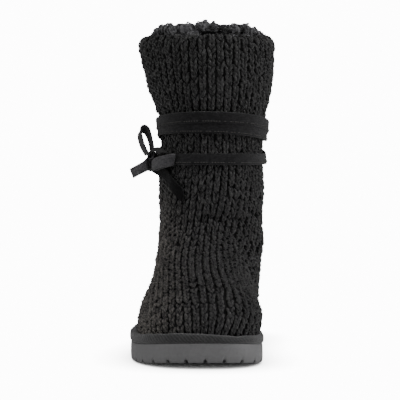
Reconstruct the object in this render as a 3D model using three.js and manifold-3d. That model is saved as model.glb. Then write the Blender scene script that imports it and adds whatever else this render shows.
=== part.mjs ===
// A right mid-calf sweater boot: a ribbed knit upper on a flat rubber sole, with a covered rand,
// a curly fleece collar, a footbed and a flat tie wound three times round the shaft.
// Millimetres, +Z up, toe towards -Y, the inner side of the foot towards +X.
import * as THREE from "three";
import Module from "manifold-3d";

const wasm = await Module();
wasm.setup();

// Driving sizes of the sole
const SOLE_LENGTH = 278;
const BALL_WIDTH = 104.3;
const HEEL_WIDTH = 78;
const ARCH_WAIST = 5; // how far the inner edge draws in at the arch
const TOE_TIP_SHIFT = 7.1; // the toe tip lies this far inside the middle of the ball
const HEEL_SHIFT = 12.7; // and the middle of the heel this far
const INNER_TOE_LENGTH = 55;
const OUTER_TOE_LENGTH = 95;
const HEEL_ROUND_LENGTH = 45;
const TOE_SQUARENESS = 2.62;
const HEEL_SQUARENESS = 2.2;
const SOLE_FOREFOOT = 15;
const SOLE_HEEL = 24;
const TOE_SPRING = 5.5;
const TOE_SPRING_LENGTH = 70;
const HEEL_ROLL = 1.5;
const HEEL_ROLL_LENGTH = 16;
const ARCH_HOLLOW = 2;
const SOLE_EDGE_ROUND = 1.6;
const GROOVE_WIDTH = 3;
const GROOVE_DEPTH = 2.6;
const GROOVE_REACH = 13;
const GROOVE_PITCH = 14.7;
const TREAD_BAR_WIDTH = 2.6;
const TREAD_BAR_DEPTH = 1.4;
const TREAD_BAR_MARGIN = 19;

// Driving sizes of the upper, the rand, the collar and the footbed
const GAP = 0.3; // between pieces that touch
const FLATNESS = 0.05; // facets closer than this to one plane are merged
const LEDGE = 3.6; // from the sole's edge in to the knit
const KNIT_WALL = 4;
const CUFF_EXTRA_WALL = 1.8; // the folded top of the knit is thicker
const CUFF_FOLD_HEIGHT = 26;
const CUFF_ROLL = 6;
const RIB_COUNT = 52;
const RIB_DEPTH = 1.5;
const COLLAR_HEIGHT = 261;
const ANKLE_HEIGHT = 104;
const INSTEP_HEIGHT = 120;
const SHAFT_WIDTH = 88.8;
const SHAFT_DEPTH = 123;
const SHAFT_SQUARENESS = 2.15;
const SHAFT_SHIFT = 12.7; // the shaft's middle lies this far inside the middle of the ball
const SHAFT_FROM_HEEL = 73.5; // from the sole's back to the shaft's middle
const KNIT_PUFF = 2.4; // how far the knit swells out over its own foot
const KNIT_PUFF_HEIGHT = 42;
const INSTEP_BLEND = 20;
const SIDE_BLEND = 3;
const RAND_HEIGHT = 7.6;
const RAND_BULGE = 0.8;
const FLEECE_THICKNESS = 8.5;
const FLEECE_PROUD = 10.5; // how far the fleece stands above the knit
const FLEECE_DOWN = 22;
const FLEECE_LUMP = 1.5;
const FOOTBED_THICKNESS = 4.5;

// Driving sizes of the tie
const TIE_WIDTH = 9.5;
const TIE_THICKNESS = 1.8;
const TIE_CLEARANCE = 1.25; // from the crests of the knit, so that the flat faces stay clear of them
const TIE_TURN_LIFT = 0.2; // each turn lies this much further out than the one before

const COLOURS = {
  rubber: { color: 0x57585a, roughness: 0.6 },
  rand: { color: 0x2b2b2c, roughness: 0.9 },
  knit: { color: 0x242425, roughness: 1 },
  fleece: { color: 0x232324, roughness: 1 },
  footbed: { color: 0x2a2a2b, roughness: 1 },
  suede: { color: 0x1c1b1c, roughness: 0.95 },
};

// How the shaft and heel run from the floor to the collar. up is 0 at the floor, 1 at the ankle and
// 2 at the collar; outer and inner are shares of SHAFT_WIDTH, front and back shares of SHAFT_DEPTH.
const SHAFT_ROWS = [
  { up: 0.0, outer: 0.4, inner: 0.37, front: 0.45, back: 0.56 },
  { up: 0.21, outer: 0.418, inner: 0.388, front: 0.45, back: 0.567 },
  { up: 0.34, outer: 0.442, inner: 0.418, front: 0.45, back: 0.581 },
  { up: 0.5, outer: 0.462, inner: 0.448, front: 0.45, back: 0.577 },
  { up: 0.84, outer: 0.497, inner: 0.503, front: 0.47, back: 0.524 },
  { up: 1.0, outer: 0.491, inner: 0.488, front: 0.478, back: 0.503 },
  { up: 1.12, outer: 0.502, inner: 0.501, front: 0.497, back: 0.5 },
  { up: 1.3, outer: 0.498, inner: 0.5, front: 0.5, back: 0.497 },
  { up: 1.42, outer: 0.478, inner: 0.491, front: 0.484, back: 0.48 },
  { up: 1.53, outer: 0.482, inner: 0.506, front: 0.482, back: 0.477 },
  { up: 1.62, outer: 0.536, inner: 0.54, front: 0.505, back: 0.495 },
  { up: 1.72, outer: 0.6, inner: 0.58, front: 0.53, back: 0.52 },
  { up: 1.84, outer: 0.656, inner: 0.6, front: 0.547, back: 0.537 },
  { up: 1.93, outer: 0.694, inner: 0.607, front: 0.555, back: 0.545 },
  { up: 2.0, outer: 0.696, inner: 0.602, front: 0.55, back: 0.54 },
];

// The top line of the foot. at is a share of SOLE_LENGTH from the toe, ridge a share of INSTEP_HEIGHT.
const RIDGE_ROWS = [
  { at: 0.0, ridge: 0.47 },
  { at: 0.14, ridge: 0.535 },
  { at: 0.25, ridge: 0.592 },
  { at: 0.34, ridge: 0.66 },
  { at: 0.42, ridge: 0.75 },
  { at: 0.47, ridge: 0.85 },
  { at: 0.52, ridge: 1.02 },
  { at: 0.6, ridge: 1.3 },
  { at: 1.0, ridge: 1.5 },
];

// The planes that cut the foot and ankle into sections. at is a share of SOLE_LENGTH from the toe, up a
// share of INSTEP_HEIGHT, lean the angle in degrees from upright towards the toe, side a share of the
// shift from the ball's middle to the shaft's.
const FOOT_PLANES = [
  { at: 0.122, up: 0.067, lean: 80, side: 0.35 },
  { at: 0.14, up: 0.12, lean: 60, side: 0.3 },
  { at: 0.165, up: 0.17, lean: 42, side: 0.24 },
  { at: 0.195, up: 0.21, lean: 27, side: 0.16 },
  { at: 0.235, up: 0.25, lean: 14, side: 0.08 },
  { at: 0.29, up: 0.28, lean: 5, side: 0 },
  { at: 0.37, up: 0.3, lean: 0, side: 0.05 },
  { at: 0.45, up: 0.32, lean: 2, side: 0.2 },
  { at: 0.53, up: 0.37, lean: 12, side: 0.45 },
  { at: 0.61, up: 0.44, lean: 28, side: 0.68 },
  { at: 0.66, up: 0.53, lean: 43, side: 0.84 },
  { at: 0.69, up: 0.6, lean: 56, side: 0.92 },
  { at: 0.715, up: 0.69, lean: 68, side: 0.96 },
  { at: 0.73, up: 0.82, lean: 80, side: 1 },
  { at: 0.7356, up: 0.96, lean: 90, side: 1 },
];
const SHAFT_PLANE_COUNT = 6; // level planes above those, up to where the cuff starts to roll
const CUFF_ROLL_STEPS = 2;

// The tie's height at quarter turns, starting at the knot on the outer side and going round by the
// front, the inner side and the back. front is the share of a whole turn, up a share of COLLAR_HEIGHT.
const TIE_ROWS = [
  { turn: 0.0, up: 0.601 },
  { turn: 0.2, up: 0.6035 },
  { turn: 0.45, up: 0.605 },
  { turn: 0.7, up: 0.645 },
  { turn: 0.95, up: 0.69 },
  { turn: 1.2, up: 0.7035 },
  { turn: 1.45, up: 0.677 },
  { turn: 1.7, up: 0.69 },
  { turn: 1.95, up: 0.712 },
  { turn: 2.2, up: 0.7365 },
  { turn: 2.45, up: 0.704 },
  { turn: 2.7, up: 0.655 },
  { turn: 2.99, up: 0.6 },
];
const KNOT_TURN = 0.795; // where the knot is, as a share of a turn from the front by the inner side

// The bow's flat cords, as points on or off the shaft. turn is the share of a turn from the knot towards
// the front, up a share of COLLAR_HEIGHT, away from the knit a share of TIE_WIDTH, and twist the angle in
// degrees of the cord's width from level up.
const LOOP_HIGH = [
  { turn: 0.006, up: 0.6291, away: 1.179, twist: 12 },
  { turn: 0.006, up: 0.6456, away: 1.400, twist: 14 },
  { turn: 0.006, up: 0.6628, away: 1.621, twist: 18 },
  { turn: 0.006, up: 0.6801, away: 1.811, twist: 28 },
  { turn: 0.006, up: 0.6935, away: 1.789, twist: 42 },
  { turn: 0.006, up: 0.6996, away: 1.558, twist: 48 },
  { turn: 0.006, up: 0.6935, away: 1.305, twist: 42 },
  { turn: 0.006, up: 0.6782, away: 1.116, twist: 28 },
  { turn: 0.006, up: 0.6609, away: 0.989, twist: 18 },
  { turn: 0.006, up: 0.6456, away: 0.916, twist: 14 },
  { turn: 0.006, up: 0.6291, away: 0.863, twist: 12 },
];
const LOOP_FRONT = [
  { turn: 0.024, up: 0.5824, away: 0.571, twist: 88 },
  { turn: 0.05, up: 0.5854, away: 0.529, twist: 86 },
  { turn: 0.08, up: 0.5900, away: 0.498, twist: 85 },
  { turn: 0.106, up: 0.5954, away: 0.487, twist: 85 },
  { turn: 0.117, up: 0.5977, away: 0.529, twist: 85 },
  { turn: 0.1215, up: 0.5985, away: 0.666, twist: 85 },
  { turn: 0.117, up: 0.5977, away: 0.813, twist: 85 },
  { turn: 0.106, up: 0.5962, away: 0.856, twist: 85 },
  { turn: 0.08, up: 0.5916, away: 0.877, twist: 85 },
  { turn: 0.05, up: 0.5870, away: 0.845, twist: 86 },
  { turn: 0.028, up: 0.5839, away: 0.803, twist: 88 },
];
const TAIL_LOW = [
  { turn: 0.004, up: 0.5785, away: 1.250, twist: 78 },
  { turn: 0.004, up: 0.5709, away: 1.632, twist: 76 },
  { turn: 0.004, up: 0.5640, away: 2.063, twist: 74 },
  { turn: 0.004, up: 0.5586, away: 2.400, twist: 74 },
  { turn: 0.004, up: 0.5540, away: 2.674, twist: 74 },
];
const TAIL_HANGING = [
  { turn: 0.06, up: 0.5464, away: 0.36, twist: 90 },
  { turn: 0.078, up: 0.5318, away: 0.36, twist: 90 },
  { turn: 0.096, up: 0.5169, away: 0.36, twist: 90 },
  { turn: 0.113, up: 0.5019, away: 0.36, twist: 90 },
  { turn: 0.129, up: 0.4881, away: 0.36, twist: 90 },
];
const KNOT_UP = 0.596;
const KNOT_THROUGH = 8;
const KNOT_LONG = 12.5;
const KNOT_TALL = 16;

const clamp01 = (t) => Math.min(1, Math.max(0, t));
const mix = (a, b, t) => a + (b - a) * t;
const ease = (t) => clamp01(t) ** 2 * (3 - 2 * clamp01(t));

// One row of a table at any value of its key column, on a smooth curve through the rows.
function rowAt(rows, key, value) {
  const last = rows.length - 1;
  let i = 0;
  while (i < last - 1 && rows[i + 1][key] < value) i += 1;
  const before = rows[Math.max(0, i - 1)];
  const a = rows[i];
  const b = rows[i + 1];
  const after = rows[Math.min(last, i + 2)];
  const step = b[key] - a[key];
  const t = clamp01((value - a[key]) / step);
  const row = {};
  for (const name of Object.keys(a)) {
    const slopeA = ((b[name] - before[name]) / (b[key] - before[key])) * step;
    const slopeB = ((after[name] - a[name]) / (after[key] - a[key])) * step;
    row[name] =
      (2 * t ** 3 - 3 * t ** 2 + 1) * a[name] +
      (t ** 3 - 2 * t ** 2 + t) * slopeA +
      (3 * t ** 2 - 2 * t ** 3) * b[name] +
      (t ** 3 - t ** 2) * slopeB;
  }
  row[key] = value;
  return row;
}

// The sole's outline: the x of its outer and inner edge at a distance from the toe tip. The middle of
// the ball is at 0.

const SHAFT_FROM_TOE = SOLE_LENGTH - SHAFT_FROM_HEEL;
const HEEL_TOP = ANKLE_HEIGHT * 0.6; // below this the heel keeps within the sole

const superellipse = (t, squareness) => (1 - clamp01(1 - t) ** squareness) ** (1 / squareness);

function edgeX(sign, fromToe) {
  const ball = (sign * BALL_WIDTH) / 2;
  const heel = HEEL_SHIFT + (sign * HEEL_WIDTH) / 2;
  const toeLength = sign > 0 ? INNER_TOE_LENGTH : OUTER_TOE_LENGTH;
  const heelStart = SOLE_LENGTH - HEEL_ROUND_LENGTH;
  if (fromToe <= toeLength) {
    return mix(TOE_TIP_SHIFT, ball, superellipse(fromToe / toeLength, TOE_SQUARENESS));
  }
  if (fromToe >= heelStart) {
    const left = (SOLE_LENGTH - fromToe) / HEEL_ROUND_LENGTH;
    return mix(HEEL_SHIFT, heel, superellipse(left, HEEL_SQUARENESS));
  }
  const along = (fromToe - toeLength) / (heelStart - toeLength);
  const waist = sign > 0 ? ARCH_WAIST * Math.sin(Math.PI * along) ** 2 : 0;
  return mix(ball, heel, ease(along)) - waist;
}

// Distances from the toe at which the outline is sampled, closer together at its round ends.
function stations(count) {
  return Array.from({ length: count + 1 }, (_, i) => {
    const t = i / count;
    return SOLE_LENGTH * mix(t, (1 - Math.cos(Math.PI * t)) / 2, 0.9);
  });
}

// The outline as a closed ring, up the inner side from the toe and back along the outer side.
function outlineRing(count) {
  const at = stations(count);
  const inner = at.map((d) => [edgeX(1, d), d]);
  const outer = at.slice(1, -1).reverse().map((d) => [edgeX(-1, d), d]);
  return [...inner, ...outer];
}

// The outward normal at each point of a ring of [x, distance] points.
function ringNormals(ring) {
  return ring.map((_, i) => {
    const a = ring[(i + ring.length - 1) % ring.length];
    const b = ring[(i + 1) % ring.length];
    const long = Math.hypot(b[0] - a[0], b[1] - a[1]);
    return [(b[1] - a[1]) / long, -(b[0] - a[0]) / long];
  });
}

const OUTLINE = outlineRing(70);

// How far inside the outline a point lies; negative outside.
function depthInside(x, fromToe) {
  let best = Infinity;
  let inside = false;
  for (let i = 0; i < OUTLINE.length; i += 1) {
    const [ax, ay] = OUTLINE[i];
    const [bx, by] = OUTLINE[(i + 1) % OUTLINE.length];
    const dx = bx - ax;
    const dy = by - ay;
    const t = clamp01(((x - ax) * dx + (fromToe - ay) * dy) / (dx * dx + dy * dy));
    best = Math.min(best, Math.hypot(x - ax - t * dx, fromToe - ay - t * dy));
    if (ay > fromToe !== by > fromToe && x < ax + (dx * (fromToe - ay)) / dy) inside = !inside;
  }
  return inside ? best : -best;
}

// The sole's underside and its top, by distance from the toe.
const toeSpring = (fromToe) => TOE_SPRING * Math.max(0, 1 - fromToe / TOE_SPRING_LENGTH) ** 2;

function soleBottom(fromToe) {
  const roll = HEEL_ROLL * Math.max(0, 1 - (SOLE_LENGTH - fromToe) / HEEL_ROLL_LENGTH) ** 2;
  const arch = clamp01((fromToe / SOLE_LENGTH - 0.42) / 0.28);
  return toeSpring(fromToe) + roll + ARCH_HOLLOW * Math.sin(Math.PI * arch) ** 2;
}

function soleTop(fromToe) {
  return toeSpring(fromToe) + mix(SOLE_FOREFOOT, SOLE_HEEL, ease((fromToe / SOLE_LENGTH - 0.38) / 0.42));
}

// The level at which a share of the shaft table lies.
function shaftLevel(up) {
  return up <= 1 ? up * ANKLE_HEIGHT : mix(ANKLE_HEIGHT, COLLAR_HEIGHT, up - 1);
}

function shaftShare(z) {
  return z <= ANKLE_HEIGHT
    ? z / ANKLE_HEIGHT
    : 1 + (z - ANKLE_HEIGHT) / (COLLAR_HEIGHT - ANKLE_HEIGHT);
}

// Whether a point is inside the foot part, drawn in by inset: a dome between the outline and the ridge.
function insideFoot(x, fromToe, z, inset) {
  if (z < 0) return false;
  const base = soleTop(fromToe);
  const widthAt = Math.min(Math.max(fromToe, INNER_TOE_LENGTH), SOLE_LENGTH - HEEL_ROUND_LENGTH);
  const halfWidth = (edgeX(1, widthAt) - edgeX(-1, widthAt)) / 2 - LEDGE;
  const puff = KNIT_PUFF * Math.sin(Math.PI * clamp01((z - base) / KNIT_PUFF_HEIGHT));
  const depth = depthInside(x, fromToe) - LEDGE + puff - inset;
  if (depth <= 0) return false;
  const q = clamp01(depth / halfWidth);
  const dome = (1 - (1 - q) ** 2.2) ** (1 / 1.9);
  const ridge = rowAt(RIDGE_ROWS, "at", fromToe / SOLE_LENGTH).ridge * INSTEP_HEIGHT;
  return z < base + (ridge - inset - base) * dome;
}

// Whether a point is inside the shaft and heel part, drawn in by inset.
function insideShaft(x, fromToe, z, inset) {
  if (z < 0) return false;
  if (z < HEEL_TOP && depthInside(x, fromToe) < LEDGE - KNIT_PUFF + inset) return false;
  const row = rowAt(SHAFT_ROWS, "up", Math.min(2, shaftShare(z)));
  const side = x - SHAFT_SHIFT;
  const along = fromToe - SHAFT_FROM_TOE;
  const halfSide = (side < 0 ? row.outer : row.inner) * SHAFT_WIDTH - inset;
  const halfAlong = (along < 0 ? row.front : row.back) * SHAFT_DEPTH - inset;
  const n = SHAFT_SQUARENESS;
  return Math.abs(side / halfSide) ** n + Math.abs(along / halfAlong) ** n < 1;
}

// A section plane: its middle and the unit direction of the ridge in the plane of side view.
function footPlane(row) {
  const lean = (row.lean * Math.PI) / 180;
  return {
    x: SHAFT_SHIFT * row.side,
    d: row.at * SOLE_LENGTH,
    z: row.up * INSTEP_HEIGHT,
    forward: Math.sin(lean),
    upward: Math.cos(lean),
  };
}

function levelPlane(z) {
  return { x: SHAFT_SHIFT, d: SHAFT_FROM_TOE, z, forward: 1, upward: 0 };
}

// The point of a plane at an angle from its ridge, round by the inner side.
function planePoint(plane, angle, radius) {
  const rise = radius * Math.cos(angle);
  return [
    plane.x + radius * Math.sin(angle),
    plane.d - rise * plane.forward,
    plane.z + rise * plane.upward,
  ];
}

const MARCH = 5;
const REFINE = 13;

function reach(inside, plane, angle, inset) {
  let low = 0;
  if (!inside(...planePoint(plane, angle, 0.01), inset)) return 0;
  while (inside(...planePoint(plane, angle, low + MARCH), inset)) low += MARCH;
  let high = low + MARCH;
  for (let i = 0; i < REFINE; i += 1) {
    const middle = (low + high) / 2;
    if (inside(...planePoint(plane, angle, middle), inset)) low = middle;
    else high = middle;
  }
  return low;
}

// The upper's surface along one ray: foot and shaft joined with a soft hollow at the instep.
function surfaceRadius(plane, angle, inset) {
  const foot = reach(insideFoot, plane, angle, inset);
  const shaft = reach(insideShaft, plane, angle, inset);
  const fromRidge = Math.abs(Math.atan2(Math.sin(angle), Math.cos(angle)));
  const blend = mix(INSTEP_BLEND, SIDE_BLEND, ease(fromRidge / 1.3));
  const near = clamp01(1 - Math.abs(foot - shaft) / blend);
  return Math.max(foot, shaft) + (near * near * blend) / 4;
}

const INNER_POINTS = 36; // round a section of the smooth inner face
const FINE = 36; // rays to each side of the ridge for measuring a section

// A closed section of count points, spaced evenly along the section from its ridge on each side.
function section(plane, inset, count, ribDepth = 0) {
  const points = [];
  const half = count / 2;
  for (const sign of [1, -1]) {
    const radii = Array.from({ length: FINE + 1 }, (_, i) => {
      const angle = (sign * Math.PI * i) / FINE;
      return { angle, radius: surfaceRadius(plane, angle, inset), along: 0 };
    });
    for (let i = 1; i <= FINE; i += 1) {
      const a = planePoint(plane, radii[i - 1].angle, radii[i - 1].radius);
      const b = planePoint(plane, radii[i].angle, radii[i].radius);
      radii[i].along = radii[i - 1].along + Math.hypot(b[0] - a[0], b[1] - a[1], b[2] - a[2]);
    }
    const whole = radii[FINE].along;
    const side = [];
    let k = 0;
    for (let i = sign > 0 ? 0 : 1; i < (sign > 0 ? half + 1 : half); i += 1) {
      const want = (whole * i) / half;
      while (k < FINE - 1 && radii[k + 1].along < want) k += 1;
      const span = radii[k + 1].along - radii[k].along;
      const t = clamp01((want - radii[k].along) / span);
      const angle = mix(radii[k].angle, radii[k + 1].angle, t);
      const valley = i % 2 === 1 ? ribDepth : 0;
      side.push(planePoint(plane, angle, mix(radii[k].radius, radii[k + 1].radius, t) - valley));
    }
    points.push(...(sign > 0 ? side : side.reverse()));
  }
  return points;
}

// A solid from vertices [x, distance from toe, z] and triangles.
function solid(vertices, triangles) {
  const made = new wasm.Manifold(
    new wasm.Mesh({
      numProp: 3,
      vertProperties: new Float32Array(vertices.flatMap(([x, d, z]) => [x, d - SOLE_LENGTH / 2, z])),
      triVerts: new Uint32Array(triangles.flat()),
    }),
  );
  if (made.volume() < 0) return solid(vertices, triangles.map(([a, b, c]) => [a, c, b]));
  return made;
}

// A closed solid through rings of equally many points, with a fan to the middle of each end.
function loft(rings) {
  const n = rings[0].length;
  const vertices = rings.flat();
  const triangles = [];
  for (let r = 0; r < rings.length - 1; r += 1) {
    for (let i = 0; i < n; i += 1) {
      const a = r * n + i;
      const b = r * n + ((i + 1) % n);
      triangles.push([a, b, b + n], [a, b + n, a + n]);
    }
  }
  for (const end of [0, rings.length - 1]) {
    const middle = [0, 1, 2].map((k) => rings[end].reduce((sum, p) => sum + p[k], 0) / n);
    const m = vertices.push(middle) - 1;
    for (let i = 0; i < n; i += 1) {
      const a = end * n + i;
      const b = end * n + ((i + 1) % n);
      triangles.push(end === 0 ? [b, a, m] : [a, b, m]);
    }
  }
  return solid(vertices, triangles);
}

const SOLE_STATIONS = 34;

// A solid with the sole's outline: levels of { out, z(distance from toe) }, closed by strips across.
function slab(count, levels) {
  const ring = outlineRing(count);
  const normals = ringNormals(ring);
  const n = ring.length;
  const vertices = levels.flatMap(({ out, z }) =>
    ring.map(([x, d], i) => {
      const along = d + normals[i][1] * out;
      return [x + normals[i][0] * out, along, z(along)];
    }),
  );
  const triangles = [];
  for (let r = 0; r < levels.length - 1; r += 1) {
    for (let i = 0; i < n; i += 1) {
      const a = r * n + i;
      const b = r * n + ((i + 1) % n);
      triangles.push([a, b, b + n], [a, b + n, a + n]);
    }
  }
  for (const [level, flip] of [
    [0, true],
    [levels.length - 1, false],
  ]) {
    for (let i = 0; i < count; i += 1) {
      const a = level * n + i;
      const b = level * n + i + 1;
      const c = level * n + ((n - i - 1) % n);
      const e = level * n + ((n - i) % n);
      const strip = i === 0 ? [[a, b, c]] : i === count - 1 ? [[a, b, e]] : [[a, b, c], [a, c, e]];
      triangles.push(...(flip ? strip.map(([p, q, s]) => [p, s, q]) : strip));
    }
  }
  return solid(vertices, triangles);
}

// A flat strip along a row of { middle, across, out } frames, across its width and out its thickness.
function strip(frames, width, thickness) {
  const rings = frames.map(({ middle, across, out }) =>
    [
      [-1, -1],
      [1, -1],
      [1, 1],
      [-1, 1],
    ].map(([w, t]) =>
      middle.map((m, k) => m + (across[k] * w * width) / 2 + (out[k] * t * thickness) / 2),
    ),
  );
  return loft(rings);
}

const unit = (v) => {
  const long = Math.hypot(...v);
  return v.map((x) => x / long);
};
const cross = (a, b) => [
  a[1] * b[2] - a[2] * b[1],
  a[2] * b[0] - a[0] * b[2],
  a[0] * b[1] - a[1] * b[0],
];

// The outsole: a rubber slab with toe spring, arch, edge grooves and bars across its tread.
function outsole() {
  let sole = slab(SOLE_STATIONS, [
    { out: -SOLE_EDGE_ROUND, z: soleBottom },
    { out: 0, z: (d) => soleBottom(d) + SOLE_EDGE_ROUND },
    { out: -0.5, z: soleTop },
  ]);
  const fine = outlineRing(400);
  const normals = ringNormals(fine);
  const steps = fine.map((p, i) => {
    const q = fine[(i + 1) % fine.length];
    return Math.hypot(q[0] - p[0], q[1] - p[1]);
  });
  const grooves = Math.round(steps.reduce((a, b) => a + b, 0) / GROOVE_PITCH);
  const pitch = steps.reduce((a, b) => a + b, 0) / grooves;
  let next = pitch / 2;
  let along = 0;
  const half = GROOVE_WIDTH / 2;
  const arch = [
    [-half, -1],
    [half, -1],
    [half, GROOVE_DEPTH * 0.6],
    [0, GROOVE_DEPTH],
    [-half, GROOVE_DEPTH * 0.6],
  ];
  fine.forEach(([x, d], i) => {
    if (along >= next) {
      const [nx, nd] = normals[i];
      const floor = soleBottom(d);
      const ring = (out) =>
        arch.map(([w, h]) => [x + nx * out - nd * w, d + nd * out + nx * w, floor + h]);
      sole = sole.subtract(loft([ring(2), ring(-GROOVE_REACH)]));
      next += pitch;
    }
    along += steps[i];
  });
  return treadBars(sole);
}

// Bars across the tread of the forefoot and the heel, where the sole stands on the floor.
function treadBars(sole) {
  let cut = sole;
  for (const [from, to, count] of [
    [0.18, 0.4, 4],
    [0.75, 0.89, 3],
  ]) {
    for (let i = 0; i < count; i += 1) {
      const d = SOLE_LENGTH * mix(from, to, i / (count - 1));
      const outer = edgeX(-1, d) + TREAD_BAR_MARGIN;
      const inner = edgeX(1, d) - TREAD_BAR_MARGIN;
      const ring = (z) => [
        [outer, d - TREAD_BAR_WIDTH / 2, z],
        [inner, d - TREAD_BAR_WIDTH / 2, z],
        [inner, d + TREAD_BAR_WIDTH / 2, z],
        [outer, d + TREAD_BAR_WIDTH / 2, z],
      ];
      cut = cut.subtract(loft([ring(-1), ring(soleBottom(d) + TREAD_BAR_DEPTH)]));
    }
  }
  return cut;
}

// The planes of the upper from the toe to just under the cuff's roll.
function upperPlanes() {
  const foot = FOOT_PLANES.map(footPlane);
  const start = foot[foot.length - 1].z;
  const end = COLLAR_HEIGHT - CUFF_ROLL;
  const shaft = Array.from({ length: SHAFT_PLANE_COUNT }, (_, i) =>
    levelPlane(mix(start, end, (i + 1) / SHAFT_PLANE_COUNT)),
  );
  return [...foot, ...shaft];
}

// The cuff's rolled top: level planes with how far each is drawn in.
function cuffRoll() {
  return Array.from({ length: CUFF_ROLL_STEPS }, (_, i) => {
    const turn = ((i + 1) / CUFF_ROLL_STEPS) * (Math.PI / 2) * 0.8;
    return {
      plane: levelPlane(COLLAR_HEIGHT - CUFF_ROLL + CUFF_ROLL * (Math.sin(turn) / Math.sin(Math.PI * 0.4))),
      inset: CUFF_ROLL * 0.8 * (1 - Math.cos(turn)),
    };
  });
}

function wallAt(z) {
  return KNIT_WALL + CUFF_EXTRA_WALL * ease((z - COLLAR_HEIGHT + CUFF_FOLD_HEIGHT) / 10);
}

// The whole boot form without ribs, drawn in by inset and run on past the collar by above.
function bootForm(inset, count, above) {
  const planes = upperPlanes();
  const top = planes[planes.length - 1];
  const draw = typeof inset === "function" ? inset : () => inset;
  const rings = planes.map((plane) => section(plane, draw(plane.z), count));
  const last = section(top, draw(top.z), count);
  rings.push(last.map(([x, d]) => [x, d, COLLAR_HEIGHT + above]));
  return loft(rings);
}

// Everything below the sole's top, for trimming what stands on it.
function underSole(gap) {
  return slab(SOLE_STATIONS, [
    { out: 12, z: () => -30 },
    { out: 12, z: (d) => soleTop(d) + gap },
  ]);
}

// The knit upper: one ribbed shell, open at the collar and underneath.
function knitUpper() {
  const rings = upperPlanes().map((plane) => section(plane, 0, RIB_COUNT * 2, RIB_DEPTH));
  for (const { plane, inset } of cuffRoll()) {
    rings.push(section(plane, inset, RIB_COUNT * 2, RIB_DEPTH));
  }
  const inner = bootForm(wallAt, INNER_POINTS, 5);
  return loft(rings).subtract(inner).subtract(underSole(GAP));
}

// The rand: a covered strip on the sole's edge, closing the joint with the knit.
function rand() {
  const band = slab(SOLE_STATIONS, [
    { out: -0.6, z: (d) => soleTop(d) + GAP },
    { out: RAND_BULGE, z: (d) => soleTop(d) + RAND_HEIGHT * 0.3 },
    { out: RAND_BULGE * 0.6, z: (d) => soleTop(d) + RAND_HEIGHT * 0.72 },
    { out: -2, z: (d) => soleTop(d) + RAND_HEIGHT },
  ]);
  return band.subtract(bootForm(-3 * GAP, INNER_POINTS, 0));
}

// The footbed, inside the knit on the sole.
function footbed() {
  const edge = -(LEDGE + KNIT_WALL + 4 * GAP);
  return slab(32, [
    { out: edge, z: (d) => soleTop(d) + GAP },
    { out: edge, z: (d) => soleTop(d) + FOOTBED_THICKNESS * 0.7 },
    { out: edge - 1.6, z: (d) => soleTop(d) + FOOTBED_THICKNESS },
  ]);
}

// A repeatable value from 0 to 1 for each pair of whole numbers.
function scatter(i, j) {
  const s = Math.sin(i * 12.9898 + j * 78.233) * 43758.5453;
  return s - Math.floor(s);
}

const FLEECE_AROUND = 56;

// The fleece collar: a ring of curly locks inside the cuff, standing above it.
function fleeceCollar() {
  const low = COLLAR_HEIGHT - FLEECE_DOWN;
  const high = COLLAR_HEIGHT + FLEECE_PROUD;
  const form = [
    { in: 0, z: low },
    { in: 0, z: COLLAR_HEIGHT - 1 },
    { in: -1.5, z: mix(COLLAR_HEIGHT, high, 0.35), lump: 1 },
    { in: 0.5, z: mix(COLLAR_HEIGHT, high, 0.75), lump: 1 },
    { in: 3.2, z: high, lump: 0.8 },
    { in: 7, z: mix(COLLAR_HEIGHT, high, 0.8), lump: 1 },
    { in: FLEECE_THICKNESS + 0.6, z: mix(COLLAR_HEIGHT, high, 0.3), lump: 1 },
    { in: FLEECE_THICKNESS, z: COLLAR_HEIGHT - 10, lump: 0.7 },
    { in: FLEECE_THICKNESS - 2, z: low },
  ];
  const profiles = form.map(({ in: inward, z, lump = 0 }, row) => {
    const level = Math.min(z, COLLAR_HEIGHT - CUFF_ROLL);
    const wall = wallAt(COLLAR_HEIGHT) + 5 * GAP;
    return section(levelPlane(level), wall + inward, FLEECE_AROUND).map(([x, d], i) => {
      const push = lump * FLEECE_LUMP * (2 * scatter(i, row) - 1);
      const long = Math.hypot(x - SHAFT_SHIFT, d - SHAFT_FROM_TOE);
      const scale = 1 + push / long;
      return [
        SHAFT_SHIFT + (x - SHAFT_SHIFT) * scale,
        SHAFT_FROM_TOE + (d - SHAFT_FROM_TOE) * scale,
        z + lump * FLEECE_LUMP * (scatter(row, i + 7) - (row === 4 ? 0.9 : 0.5)),
      ];
    });
  });
  const n = FLEECE_AROUND;
  const rows = profiles.length;
  const triangles = [];
  for (let r = 0; r < rows; r += 1) {
    for (let i = 0; i < n; i += 1) {
      const a = r * n + i;
      const b = r * n + ((i + 1) % n);
      const c = ((r + 1) % rows) * n + ((i + 1) % n);
      const e = ((r + 1) % rows) * n + i;
      triangles.push([a, b, c], [a, c, e]);
    }
  }
  return solid(profiles.flat(), triangles);
}

const TIE_STEPS_PER_TURN = 26;

// A point off the shaft: turns from the knot by the front, a height and a distance from the knit.
function shaftPoint(turn, z, away) {
  const plane = levelPlane(z);
  const angle = (KNOT_TURN + turn) * 2 * Math.PI;
  return planePoint(plane, angle, surfaceRadius(plane, angle, 0) + away);
}

const STEP_TURN = 0.003;

// A frame of the wound tie at a number of turns from the knot.
function tieFrame(turn) {
  const z = rowAt(TIE_ROWS, "turn", turn).up * COLLAR_HEIGHT;
  const away = TIE_CLEARANCE + TIE_THICKNESS / 2 + turn * TIE_TURN_LIFT;
  const middle = shaftPoint(turn, z, away);
  const ahead = shaftPoint(turn + STEP_TURN, z, away);
  const above = shaftPoint(turn, z + TIE_WIDTH / 2, away);
  const below = shaftPoint(turn, z - TIE_WIDTH / 2, away);
  const across = unit(above.map((v, k) => v - below[k]));
  const forward = unit(ahead.map((v, k) => v - middle[k]));
  return { middle, across, out: unit(cross(across, forward)) };
}

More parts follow.
